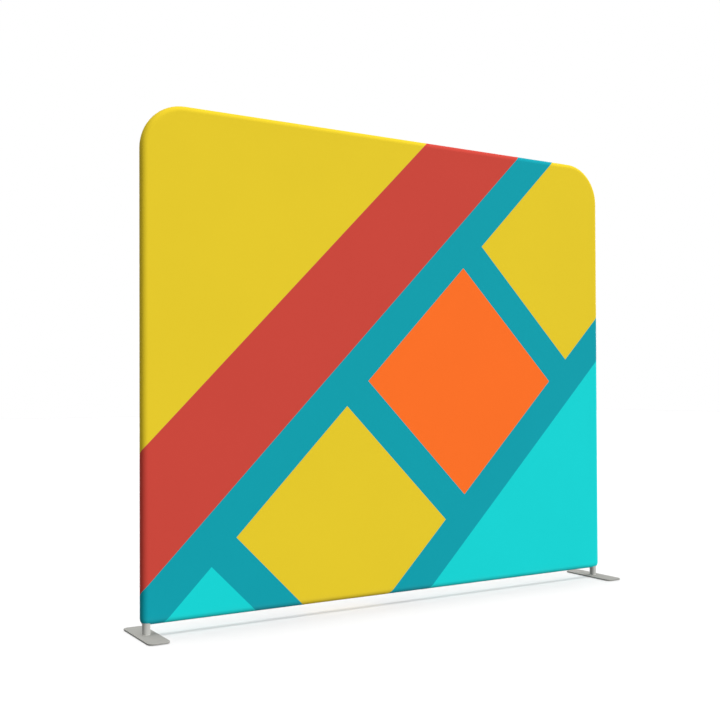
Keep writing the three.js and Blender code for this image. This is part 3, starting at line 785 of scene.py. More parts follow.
@dataclass(frozen=True)
class StudioFloor(Finish):
    """The plain pale floor."""

    roughness: float = 0.9
    specular: float = 0.1
    bounce: float = 0.15
    cloud_share: float = 0.99

    def paint(self, graph: Graph, shader: bpy.types.Node) -> None:
        """Wires a matt white sweep with the faintest clouding, which throws back little of its light.

        Args:
            graph: The material's tree.
            shader: Its shader.
        """
        cloud = graph.span(graph.noise(graph.place(), 0.6, 2.0), 0.3, 0.7)
        sweep = graph.mix(cloud, dimmed(self.colour, self.cloud_share), self.colour)
        thrown = graph.node("ShaderNodeLightPath").outputs["Is Diffuse Ray"]
        graph.feed(shader.inputs["Base Color"], graph.mix(thrown, sweep, dimmed(self.colour, self.bounce)))


# ---------------------------------------------------------------- mesh making


@dataclass(frozen=True)
class Stitch:
    """A stitch of a row: from one to the next, its length, and the thread's radius."""

    pitch: float
    length: float
    radius: float


@dataclass(frozen=True)
class EdgePoint:
    """A point of a flat outline and the direction that leads out of it."""

    x: float
    y: float
    out_x: float
    out_y: float

    def inset(self, depth: float) -> Flat:
        """The point, moved in from the outline."""
        return (self.x - self.out_x * depth, self.y - self.out_y * depth)


def arc(x: float, y: float, radius: float, start: float, end: float, steps: int) -> list[EdgePoint]:
    """Draws an arc.

    Args:
        x: Its middle.
        y: Its middle.
        radius: Its radius.
        start: Where it starts, in degrees.
        end: Where it ends, in degrees.
        steps: How many sides it has.

    Returns:
        Its outline points.
    """
    angles = [math.radians(start + (end - start) * i / steps) for i in range(steps + 1)]
    return [
        EdgePoint(x + radius * math.cos(a), y + radius * math.sin(a), math.cos(a), math.sin(a))
        for a in angles
    ]


def rounded_panel(width: float, length: float, radius: float, steps: int = 8) -> list[EdgePoint]:
    """Draws a panel with four round corners, about the origin.

    Args:
        width: Its size along x.
        length: Its size along y.
        radius: Its corners' radius.
        steps: How many sides each corner has.

    Returns:
        Its outline, counterclockwise.
    """
    x, y = width / 2 - radius, length / 2 - radius
    corners = ((x, y, 0.0), (-x, y, 90.0), (-x, -y, 180.0), (x, -y, 270.0))
    return [p for cx, cy, start in corners for p in arc(cx, cy, radius, start, start + 90.0, steps)]


def moved(outline: Sequence[EdgePoint], x: float, y: float) -> list[EdgePoint]:
    """An outline moved within its plane."""
    return [EdgePoint(p.x + x, p.y + y, p.out_x, p.out_y) for p in outline]


def level_ring(middle: Flat, radius: float, level: float, sides: int) -> list[Point]:
    """A level ring of points about an upright line."""
    turns = [math.tau * k / sides for k in range(sides)]
    return [(middle[0] + radius * math.cos(a), middle[1] + radius * math.sin(a), level) for a in turns]


def spaced(low: float, high: float, step: float) -> list[float]:
    """Even stations from low to high, about a step apart."""
    count = max(1, round((high - low) / step))
    return [low + (high - low) * i / count for i in range(count + 1)]


class Draft:
    """The faces of one piece, gathered before they become its mesh."""

    def __init__(self) -> None:
        """Starts empty, with the two flat maps that the fabrics use."""
        self.bm = bmesh.new()
        self.cloth = self.bm.loops.layers.uv.new("cloth")
        self.seam = self.bm.loops.layers.uv.new("seam")

    def face(self, points: Sequence[Point], cloth: Sequence[Flat] = (), seam: Sequence[Flat] = ()) -> None:
        """Adds one face.

        Args:
            points: Its corners, in order.
            cloth: Where each corner lies on the flat cloth.
            seam: How far along the side seam and how far from it each corner lies.
        """
        face = self.bm.faces.new([self.bm.verts.new(point) for point in points])
        face.smooth = True
        for index, loop in enumerate(face.loops):
            loop[self.cloth].uv = cloth[index] if cloth else (0.0, 0.0)
            loop[self.seam].uv = seam[index] if seam else OFF_SEAM

    def skin(self, rings: Sequence[Sequence[Point]], loop: bool = False, capped: bool = True) -> None:
        """Adds the skin through rings of equally many points.

        Args:
            rings: Closed rings of points.
            loop: Whether the last ring joins the first.
            capped: Whether an open skin gets a face over each end.
        """
        count = len(rings[0])
        verts = [[self.bm.verts.new(point) for point in ring] for ring in rings]
        pairs = list(zip(verts, verts[1:])) + ([(verts[-1], verts[0])] if loop else [])
        for low, high in pairs:
            for k in range(count):
                n = (k + 1) % count
                self.bm.faces.new((low[k], low[n], high[n], high[k])).smooth = True
        if capped and not loop:
            self.bm.faces.new(list(reversed(verts[0]))).smooth = True
            self.bm.faces.new(verts[-1]).smooth = True

    def slab(
        self, outline: Sequence[EdgePoint], low: float, high: float, bevel: float,
        place: Callable[[Flat, float], Point],
    ) -> None:
        """Adds a flat slab with rounded edges.

        Args:
            outline: Its outline, counterclockwise.
            low: The level of its lower face.
            high: The level of its upper face.
            bevel: The radius of its edges.
            place: Puts a point of the outline's plane, at a level, in space.
        """
        quarter = [math.radians(90.0 * i / BEVEL_STEPS) for i in range(BEVEL_STEPS + 1)]
        rim = [(bevel * BEVEL_MARGIN, low)]
        rim += [(bevel * (1 - math.sin(a)), low + bevel * (1 - math.cos(a))) for a in quarter]
        rim += [(bevel * (1 - math.cos(a)), high - bevel * (1 - math.sin(a))) for a in quarter]
        rim += [(bevel * BEVEL_MARGIN, high)]
        self.skin([[place(point.inset(depth), level) for point in outline] for depth, level in rim])

    def turned(self, profile: Sequence[Flat], middle: Flat = (0.0, 0.0), sides: int = 48) -> None:
        """Adds a body turned about an upright line.

        Args:
            profile: Its closed profile, as radii and heights.
            middle: Where the line stands.
            sides: How many sides it has.
        """
        rings = []
        for k in range(sides):
            c, s = math.cos(math.tau * k / sides), math.sin(math.tau * k / sides)
            rings.append([(middle[0] + r * c, middle[1] + r * s, z) for r, z in profile])
        self.skin(rings, loop=True)

    def tube(self, path: Sequence[Point], radius: float, sides: int = 8, loop: bool = False) -> None:
        """Adds a round cord.

        Args:
            path: The line of its middle.
            radius: Its radius.
            sides: How many sides it has.
            loop: Whether its ends join.
        """
        points = [Vector(point) for point in path]
        count = len(points)
        rings, across = [], None
        for i, point in enumerate(points):
            ahead = points[(i + 1) % count] if loop or i + 1 < count else point
            behind = points[i - 1] if loop or i > 0 else point
            along = (ahead - behind).normalized()
            start = across if across else (Vector((0, 1, 0)) if abs(along.y) < 0.9 else Vector((1, 0, 0)))
            across = (start - along * start.dot(along)).normalized()
            other = along.cross(across)
            rings.append([
                tuple(point + radius * (math.cos(a) * across + math.sin(a) * other))
                for a in (math.tau * k / sides for k in range(sides))
            ])
        self.skin(rings, loop=loop)

    def stitches(self, path: Sequence[Point], stitch: Stitch, slant: Point = (0.0, 0.0, 0.0)) -> None:
        """Adds a row of stitches along a path.

        Args:
            path: The line of the seam, on the cloth's surface.
            stitch: The sizes of one.
            slant: How far each stitch leans from its start to its end.
        """
        points = [Vector(point) for point in path]
        lean, walked, due = Vector(slant), 0.0, stitch.pitch / 2
        for a, b in zip(points, points[1:]):
            span = (b - a).length
            while span > 0 and due <= walked + span:
                along = (b - a) / span
                middle = a + along * (due - walked)
                side = along.orthogonal().normalized()
                ends = [
                    middle - along * stitch.length / 2 - lean / 2,
                    middle + along * stitch.length / 2 + lean / 2,
                ]
                other = along.cross(side)
                ring = [middle + stitch.radius * v for v in (side, other, -side, -other)]
                for k in range(4):
                    n = (k + 1) % 4
                    self.face([tuple(ends[0]), tuple(ring[n]), tuple(ring[k])])
                    self.face([tuple(ends[1]), tuple(ring[k]), tuple(ring[n])])
                due += stitch.pitch
            walked += span

    def outward(self) -> None:
        """Turns every face outward."""
        bmesh.ops.recalc_face_normals(self.bm, faces=self.bm.faces)

    def map_cloth(self, place: Callable[[Vector], Flat], seam: Flat = (0.0, 0.0)) -> None:
        """Lays every face on the flat cloth.

        Args:
            place: Gives the place on the cloth from a point.
            seam: Where the seam's map puts all of it.
        """
        for face in self.bm.faces:
            for loop in face.loops:
                loop[self.cloth].uv = place(loop.vert.co)
                loop[self.seam].uv = seam

    def finished(self, name: str, finish: Finish, merge: float = NEAR, sharp: float = 50.0) -> bpy.types.Object:
        """Turns the draft into an object with its finish.

        Args:
            name: The piece's name.
            finish: Its finish.
            merge: Points nearer than this become one.
            sharp: Edges that turn by more degrees than this stay crisp.

        Returns:
            The new object, linked to the scene.
        """
        bmesh.ops.remove_doubles(self.bm, verts=self.bm.verts, dist=merge)
        edge = self.bm.verts.layers.float.new("edge")
        for vert in self.bm.verts:
            turns = [e.calc_face_angle(0.0) for e in vert.link_edges]
            vert[edge] = min(1.0, max(turns, default=0.0) / math.radians(FULL_WEAR_TURN))
        mesh = bpy.data.meshes.new(name)
        self.bm.to_mesh(mesh)
        self.bm.free()
        mesh.set_sharp_from_angle(angle=math.radians(sharp))
        mesh.materials.append(finish.material())
        obj = bpy.data.objects.new(name, mesh)
        bpy.context.scene.collection.objects.link(obj)
        return obj


def bake(obj: bpy.types.Object, sharp: float = 50.0) -> None:
    """Applies an object's modifiers to its mesh.

    Args:
        obj: The object.
        sharp: Edges that turn by more degrees than this stay crisp.
    """
    graph = bpy.context.evaluated_depsgraph_get()
    mesh = bpy.data.meshes.new_from_object(obj.evaluated_get(graph))
    mesh.set_sharp_from_angle(angle=math.radians(sharp))
    obj.modifiers.clear()
    spent, obj.data = obj.data, mesh
    bpy.data.meshes.remove(spent)


def carve(obj: bpy.types.Object, tool: Draft, sharp: float = 50.0) -> None:
    """Cuts a tool out of a piece.

    Args:
        obj: The piece.
        tool: What is cut out of it.
        sharp: Edges that turn by more degrees than this stay crisp.
    """
    cutter = tool.finished("cutting_tool", NYLON)
    for item in cutter.data.attributes["edge"].data:
        item.value = 0.0
    cut = obj.modifiers.new("cut", "BOOLEAN")
    cut.operation, cut.solver, cut.object = "DIFFERENCE", "EXACT", cutter
    bake(obj, sharp)
    spent = cutter.data
    bpy.data.objects.remove(cutter)
    bpy.data.meshes.remove(spent)


def upright(point: Flat, level: float) -> Point:
    """Puts an outline drawn on the floor at a height."""
    return (point[0], point[1], level)


def seat(obj: bpy.types.Object, body: str, slot: str, *nodes: str) -> bpy.types.Object:
    """Hangs a piece on its body and stands it for its CAD nodes, which it hides.

    Args:
        obj: The piece.
        body: The body that carries it.
        slot: The record's slot for its finish. It is not used.
        *nodes: The CAD nodes that it stands for.

    Returns:
        The piece.
    """
    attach(obj, body)
    if nodes:
        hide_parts(*nodes)
    log.info("%-22s %6d faces, on %s", obj.name, len(obj.data.polygons), body)
    return obj


# ---------------------------------------------------------------- the frame's line


@dataclass(frozen=True)
class Station:
    """A point of the line of the tubes, and the direction out of the wall there."""

    x: float
    z: float
    out_x: float
    out_z: float

    def at(self, reach: float, turn: float) -> Point:
        """The point of the edge's round, turned back from the wall's outermost line."""
        out = reach * math.cos(turn)
        return (self.x + self.out_x * out, reach * math.sin(turn), self.z + self.out_z * out)

    def mirrored(self) -> "Station":
        """The same station at the wall's other end."""
        return Station(-self.x, self.z, -self.out_x, self.out_z)

    def on_cloth(self, length: float) -> Flat:
        """The point of the flat cloth, a length beyond the line."""
        return (self.x + self.out_x * length, self.z + self.out_z * length)


@dataclass(frozen=True)
class TubeLine:
    """The closed line of the tubes' middles, in the plane of the wall."""

    half_span: float = 1.1949
    bottom: float = 0.0711
    top: float = 2.0749
    bend: float = 0.1619
    zip_end: float = 1.1453
    bend_steps: int = 16
    corner_steps: int = 6
    step: float = 0.09
    rounding: float = 1e-5

    @property
    def shoulder(self) -> float:
        """The height where the two bends start."""
        return self.top - self.bend

    def turn(self, step: int) -> float:
        """Gives a station's angle in the bend. The middle one is over the zip's end.

        Args:
            step: The station's number.

        Returns:
            The angle.
        """
        if step == self.bend_steps // 2:
            return math.acos(1 - (self.half_span - self.zip_end) / self.bend)
        return math.pi / 2 * step / self.bend_steps

    def columns(self, extra: Sequence[float] = ()) -> list[float]:
        """The upright grid lines, from left to right.

        Args:
            extra: More lines, given for the right half.

        Returns:
            Where the lines stand.
        """
        straight = spaced(0.0, self.half_span - self.bend, self.step)
        bend = [self.half_span - self.bend * (1 - math.cos(self.turn(i))) for i in range(self.bend_steps)]
        right = sorted({round(x, 7) for x in [*straight, *bend, *extra]})
        return [-x for x in reversed(right) if x > 0] + right

    def rows(self, levels: Sequence[float]) -> list[float]:
        """The level grid lines, from the lowest given one up.

        Args:
            levels: Lines that have to be there.

        Returns:
            The heights of all the lines.
        """
        side = spaced(levels[-1], self.shoulder, self.step)
        bend = [self.shoulder + self.bend * math.sin(self.turn(i)) for i in range(1, self.bend_steps + 1)]
        return sorted({round(z, 7) for z in [*levels, *side, *bend]})

    def over(self, rows: Sequence[float], columns: Sequence[float]) -> list[Station]:
        """The stations up the left side, over the top and down the right side.

        Args:
            rows: The level grid lines.
            columns: The upright grid lines.

        Returns:
            The stations, in that order.
        """
        side = [Station(-self.half_span, z, -1.0, 0.0) for z in rows if z < self.shoulder - NEAR]
        for i in range(self.bend_steps + 1):
            c, s = math.cos(self.turn(i)), math.sin(self.turn(i))
            x, z = self.half_span - self.bend * (1 - c), self.shoulder + self.bend * s
            side.append(Station(-round(x, 7), round(z, 7), -c, s))
        limit = self.half_span - self.bend - NEAR
        flat = [Station(x, self.top, 0.0, 1.0) for x in columns if abs(x) < limit]
        return side + flat + [p.mirrored() for p in reversed(side)]

    def under(self, columns: Sequence[float]) -> list[Station]:
        """The stations round the right bottom corner, along the bottom and round the left one.

        Args:
            columns: The upright grid lines.

        Returns:
            The stations, in that order.
        """
        fan = [math.pi / 2 * i / self.corner_steps for i in range(self.corner_steps + 1)]
        right = [Station(self.half_span, self.bottom, math.cos(a), -math.sin(a)) for a in fan]
        limit = self.half_span - NEAR
        flat = [Station(x, self.bottom, 0.0, -1.0) for x in reversed(columns) if abs(x) < limit]
        return right + flat + [p.mirrored() for p in reversed(right)]

    def holds(self, x: float, z: float) -> bool:
        """Tells whether the line goes round a point.

        Args:
            x: The point, in the wall's plane.
            z: The point's height.

        Returns:
            Whether the point lies within the line.
        """
        dx, dz = abs(x) - (self.half_span - self.bend), z - self.shoulder
        return dx <= 0 or dz <= 0 or math.hypot(dx, dz) <= self.bend + self.rounding

    def depth(self, x: float, z: float) -> float:
        """Tells roughly how far inside the line a point lies.

        Args:
            x: The point, in the wall's plane.
            z: The point's height.

        Returns:
            The distance to the line.
        """
        dx, dz = abs(x) - (self.half_span - self.bend), z - self.shoulder
        corner = self.bend - math.hypot(dx, dz) if dx > 0 and dz > 0 else self.bend
        return min(self.half_span - abs(x), self.top - z, z - self.bottom, corner + self.bend)


# ---------------------------------------------------------------- fabric cover


@dataclass
class Cover:
    """The zipped cover: a printed front that wraps the edges, and a plain back."""

    line: TubeLine = field(default_factory=TubeLine)
    reach: float = 0.0251
    cloth: float = 0.0008
    seam_back: float = 0.0150
    seat: float = 0.0003
    zip_line: float = 0.0931
    slot_half: float = 1.1453
    slot_reach: float = 0.0140
    stem_hole: float = 0.0180
    billow: float = 0.0014
    billow_margin: float = 0.16
    wrap_steps: int = 14
    seam_steps: int = 6
    lining_steps: int = 8
    stem_sides: int = 48
    stem_cut_low: float = 0.02
    welt_radius: float = 0.0007
    eyelet_radius: float = 0.0011
    eyelet_ease: float = 0.0004
    eyelet_points: int = 64
    hem_near: float = 0.0092
    hem_far: float = 0.0168
    hem_low: float = 0.0001
    hem_high: float = 0.0010
    hem_bevel: float = 0.0004
    hem_past: float = 0.003
    hem_step: float = 0.006
    hem_wander: float = 0.00035
    hem_lift: float = 0.00018
    hem_rows: Flat = (0.0105, 0.0155)
    thread_rise: float = 0.0011
    bar_in: float = 0.0022
    bar_half: float = 0.009
    bar_drop: float = 0.0008
    seam_stitch: Stitch = Stitch(0.004, 0.0026, 0.0003)
    hem_stitch: Stitch = Stitch(0.0036, 0.0026, 0.00024)
    bar_stitch: Stitch = Stitch(0.0011, 0.0024, 0.0003)

    @property
    def wrapped(self) -> float:
        """Where the back would start on the flat cloth, if it went on from the front."""
        return 2 * self.line.bottom - math.pi * self.reach

    @property
    def seam_turn(self) -> float:
        """The angle of the side seam, back from the wall's outermost line."""
        return math.asin(self.seam_back / self.reach)

    def turns(self, start: float, end: float, steps: int) -> list[float]:
        """Even angles from start to end."""
        return [start + (end - start) * i / steps for i in range(steps + 1)]

    def edge(self, draft: Draft, stations: Sequence[Station], turns: Sequence[float], sewn: bool) -> None:
        """Adds the round edge between stations.

        Args:
            draft: The piece being made.
            stations: Where the edge runs.
            turns: The angles of its rings, from the front to the back.
            sewn: Whether the side seam runs along it.
        """
        walked = 0.0
        for a, b in zip(stations, stations[1:]):
            ahead = walked + (Vector(b.at(self.reach, 0.0)) - Vector(a.at(self.reach, 0.0))).length
            for low, high in zip(turns, turns[1:]):
                corners = ((a, low, walked), (b, low, ahead), (b, high, ahead), (a, high, walked))
                draft.face(
                    [p.at(self.reach, turn) for p, turn, _ in corners],
                    [p.on_cloth(self.reach * (turn + math.pi / 2)) for p, turn, _ in corners],
                    [(s, self.reach * (turn - self.seam_turn)) for _, turn, s in corners] if sewn else (),
                )
            walked = ahead

    def face(
        self, draft: Draft, columns: Sequence[float], rows: Sequence[float], back: bool,
        kept: Callable[[float, float], bool],
    ) -> None:
        """Adds a flat face of the cover, cell by cell.

        Args:
            draft: The piece being made.
            columns: Its upright grid lines.
            rows: Its level grid lines.
            back: Whether it is on the wall's back.
            kept: Tells from its middle whether a cell belongs to the face.
        """
        level = self.reach if back else -self.reach
        for left, right in zip(columns, columns[1:]):
            for low, high in zip(rows, rows[1:]):
                corners = ((left, low), (right, low), (right, high), (left, high))
                cell = [p for p in corners if self.line.holds(*p)]
                if len(cell) < 3 or not kept((left + right) / 2, (low + high) / 2):
                    continue
                if back:
                    cell.reverse()
                cloth = [(x, self.wrapped - z) if back else (x, z) for x, z in cell]
                draft.face([(x, level, z) for x, z in cell], cloth)

    def stretch(self, draft: Draft, foot: float) -> None:
        """Lets the flat faces billow by a hair between the tubes, outward only.

        Args:
            draft: The piece being made.
            foot: The height from which it may billow.
        """
        bmesh.ops.remove_doubles(draft.bm, verts=draft.bm.verts, dist=NEAR)
        for vert in draft.bm.verts:
            x, y, z = vert.co
            if abs(abs(y) - self.reach) > NEAR or z < foot:
                continue
            free = min(1.0, max(0.0, min(self.line.depth(x, z), z - foot) / self.billow_margin))
            swell = 0.5 + 0.5 * noise.noise(Vector((x * 1.7, y * 40.0, z * 1.7)))
            vert.co.y += math.copysign(self.billow * free * free * (3 - 2 * free) * swell, y)

    def thicken(self, obj: bpy.types.Object) -> None:
        """Gives the cloth its thickness, inward from its outside.

        Args:
            obj: The sheet.
        """
        shell = obj.modifiers.new("cloth", "SOLIDIFY")
        shell.thickness, shell.offset, shell.use_rim = self.cloth, -1.0, True
        bake(obj)

    def printed(self) -> bpy.types.Object:
        """Makes the printed front, with its wrapped edges, its bottom and the strip below the zip.

        Returns:
            The sheet.
        """
        slot_foot = self.zip_line - self.slot_reach
        levels = (self.line.bottom, slot_foot, self.zip_line)
        columns, rows = self.line.columns((self.slot_half,)), self.line.rows(levels)
        over = self.line.over(rows, columns)
        inner = [p for p in over if p.z > self.zip_line - NEAR]
        left = [p for p in over if p.z < self.zip_line + NEAR and p.x < 0]
        right = [p for p in over if p.z < self.zip_line + NEAR and p.x > 0]
        wrap = right + self.line.under(columns) + left
        front = self.turns(-math.pi / 2, self.seam_turn, self.wrap_steps)
        behind = self.turns(self.seam_turn, math.pi / 2, self.seam_steps)
        draft = Draft()
        self.edge(draft, inner, front, sewn=True)
        self.edge(draft, wrap, front + behind[1:], sewn=False)
        self.face(draft, columns, rows, False, lambda x, z: True)
        low_rows = [z for z in rows if z < self.zip_line + NEAR]
        self.face(draft, columns, low_rows, True, lambda x, z: z < slot_foot or abs(x) > self.slot_half)
        self.stretch(draft, self.line.bottom)
        obj = draft.finished("printed_cover", PRINTED_KNIT)
        self.thicken(obj)
        tool = Draft()
        for side in Side:
            middle = (side.sign * self.line.half_span, 0.0)
            ends = (self.stem_cut_low, self.line.bottom)
            tool.skin([level_ring(middle, self.stem_hole, level, self.stem_sides) for level in ends])
        carve(obj, tool)
        return obj

    def lining(self) -> bpy.types.Object:
        """Makes the plain back.

        Returns:
            The sheet.
        """
        foot, slot_top = self.zip_line + self.seat, self.zip_line + self.slot_reach
        columns, rows = self.line.columns((self.slot_half,)), self.line.rows((foot, slot_top))
        start = math.asin((self.seam_back + self.seat) / self.reach)
        draft = Draft()
        turns = self.turns(start, math.pi / 2, self.lining_steps)
        self.edge(draft, self.line.over(rows, columns), turns, sewn=True)
        self.face(draft, columns, rows, True, lambda x, z: z > slot_top or abs(x) > self.slot_half)
        self.stretch(draft, slot_top)
        obj = draft.finished("lining_cover", LINING_KNIT)
        self.thicken(obj)
        return obj

    def seam_path(self, rise: float) -> list[Point]:
        """Draws the line where the front and the back meet, from one end of the zip to the other.

        Args:
            rise: How far the line lies above the cloth.

        Returns:
            Its points.
        """
        z = self.zip_line + self.seat / 2
        columns, rows = self.line.columns(), self.line.rows((z,))
        side = self.turns(self.seam_turn, math.pi / 2, self.seam_steps)
        reach = self.reach + rise
        start = Station(-self.line.half_span, z, -1.0, 0.0)
        foot = [(-self.slot_half, reach, z)] + [start.at(reach, turn) for turn in reversed(side[1:])]
        over = [p.at(reach, self.seam_turn) for p in self.line.over(rows, columns)]
        return foot + over + [(-x, y, h) for x, y, h in reversed(foot)]

    def welt(self) -> bpy.types.Object:
        """Makes the narrow turned-in welt of the side seam.

        Returns:
            The welt.
        """
        draft = Draft()
        draft.tube(self.seam_path(-0.0001), self.welt_radius, 8)
        return draft.finished("seam_welt", BINDING)

    def seam_stitching(self) -> bpy.types.Object:
        """Makes the stitches that close the side seam over its welt.

        Returns:
            The stitches.
        """
        draft = Draft()
        draft.stitches(self.seam_path(0.0005), self.seam_stitch, (0.0, 0.0008, 0.0))
        return draft.finished("seam_stitching", THREAD)

    def hem(self, name: str, finish: Finish, up: float) -> bpy.types.Object:
        """One folded hem along the zip, which covers the edge of its tape.

        Args:
            name: The piece's name.
            finish: Its finish.
            up: 1 above the zip and -1 below it.

        Returns:
            The hem.
        """
        near, far, low, high = self.hem_near, self.hem_far, self.reach + self.hem_low, self.reach + self.hem_high
        stations = spaced(-self.slot_half - self.hem_past, self.slot_half + self.hem_past, self.hem_step)
        draft = Draft()
        outline = rounded_panel(far - near, high - low, self.hem_bevel, 3)
        rings = []
        for x in stations:
            wander = self.hem_wander * noise.noise(Vector((x * 22.0, up, 0.0)))
            lift = self.hem_lift * (1 + noise.noise(Vector((x * 95.0, 3.0 * up, 1.0))))
            middle = self.zip_line + up * (near + far) / 2 + wander
            level = (low + high) / 2
            rings.append([(x, level + p.y + (lift if p.y > 0 else 0.0), middle + p.x) for p in outline])
        draft.skin(rings)
        draft.map_cloth(lambda point: (point.x, self.wrapped - point.z), OFF_SEAM)
        draft.outward()
        return draft.finished(name, finish)

    def hem_stitching(self) -> bpy.types.Object:
        """Makes the stitch rows of both hems, and a bar of stitches across each end of the zip.

        Returns:
            The stitches.
        """
        draft, level = Draft(), self.reach + self.thread_rise
        for up in (-1.0, 1.0):
            for away in self.hem_rows:
                z = self.zip_line + up * away
                draft.stitches([(-self.slot_half, level, z), (self.slot_half, level, z)], self.hem_stitch)
        for side in Side:
            x = side.sign * (self.slot_half - self.bar_in)
            ends = (self.zip_line - self.bar_half, self.zip_line + self.bar_half)
            draft.stitches([(x, level - self.bar_drop, z) for z in ends], self.bar_stitch)
        return draft.finished("hem_stitching", THREAD)

    def eyelet(self, side: Side) -> bpy.types.Object:
        """Makes the bound edge of the hole that a stem passes through.

        Args:
            side: The end of the wall.

        Returns:
            The bound edge.
        """
        draft, middle = Draft(), side.sign * self.line.half_span
        radius, count = self.stem_hole + self.eyelet_ease, self.eyelet_points
        path = []
        for k in range(count):
            out, along = radius * math.cos(math.tau * k / count), radius * math.sin(math.tau * k / count)
            away = radius if out * side.sign > 0 else abs(along)
            path.append((middle + out, along, self.line.bottom - math.sqrt(self.reach ** 2 - away ** 2)))
        draft.tube(path, self.eyelet_radius, 8, loop=True)
        return draft.finished(f"{side.value}_eyelet", BINDING)

    def build(self) -> None:
        """Makes the whole cover, hangs its pieces on the frame, and hides its two sheets from diffuse rays."""
        front = seat(self.printed(), "frame", "printed_fabric", "fabric_front")
        back = seat(self.lining(), "frame", "lining_fabric", "fabric_back")
        front.visible_diffuse = back.visible_diffuse = False
        welt = seat(self.welt(), "frame", "lining_fabric")
        seam = seat(self.seam_stitching(), "frame", "lining_fabric")
        lower = seat(self.hem("lower_hem", PRINTED_KNIT, -1.0), "frame", "printed_fabric")
        upper = seat(self.hem("upper_hem", LINING_KNIT, 1.0), "frame", "lining_fabric")
        rows = seat(self.hem_stitching(), "frame", "lining_fabric")
        eyelets = [seat(self.eyelet(side), "frame", "printed_fabric") for side in Side]


# ---------------------------------------------------------------- zip


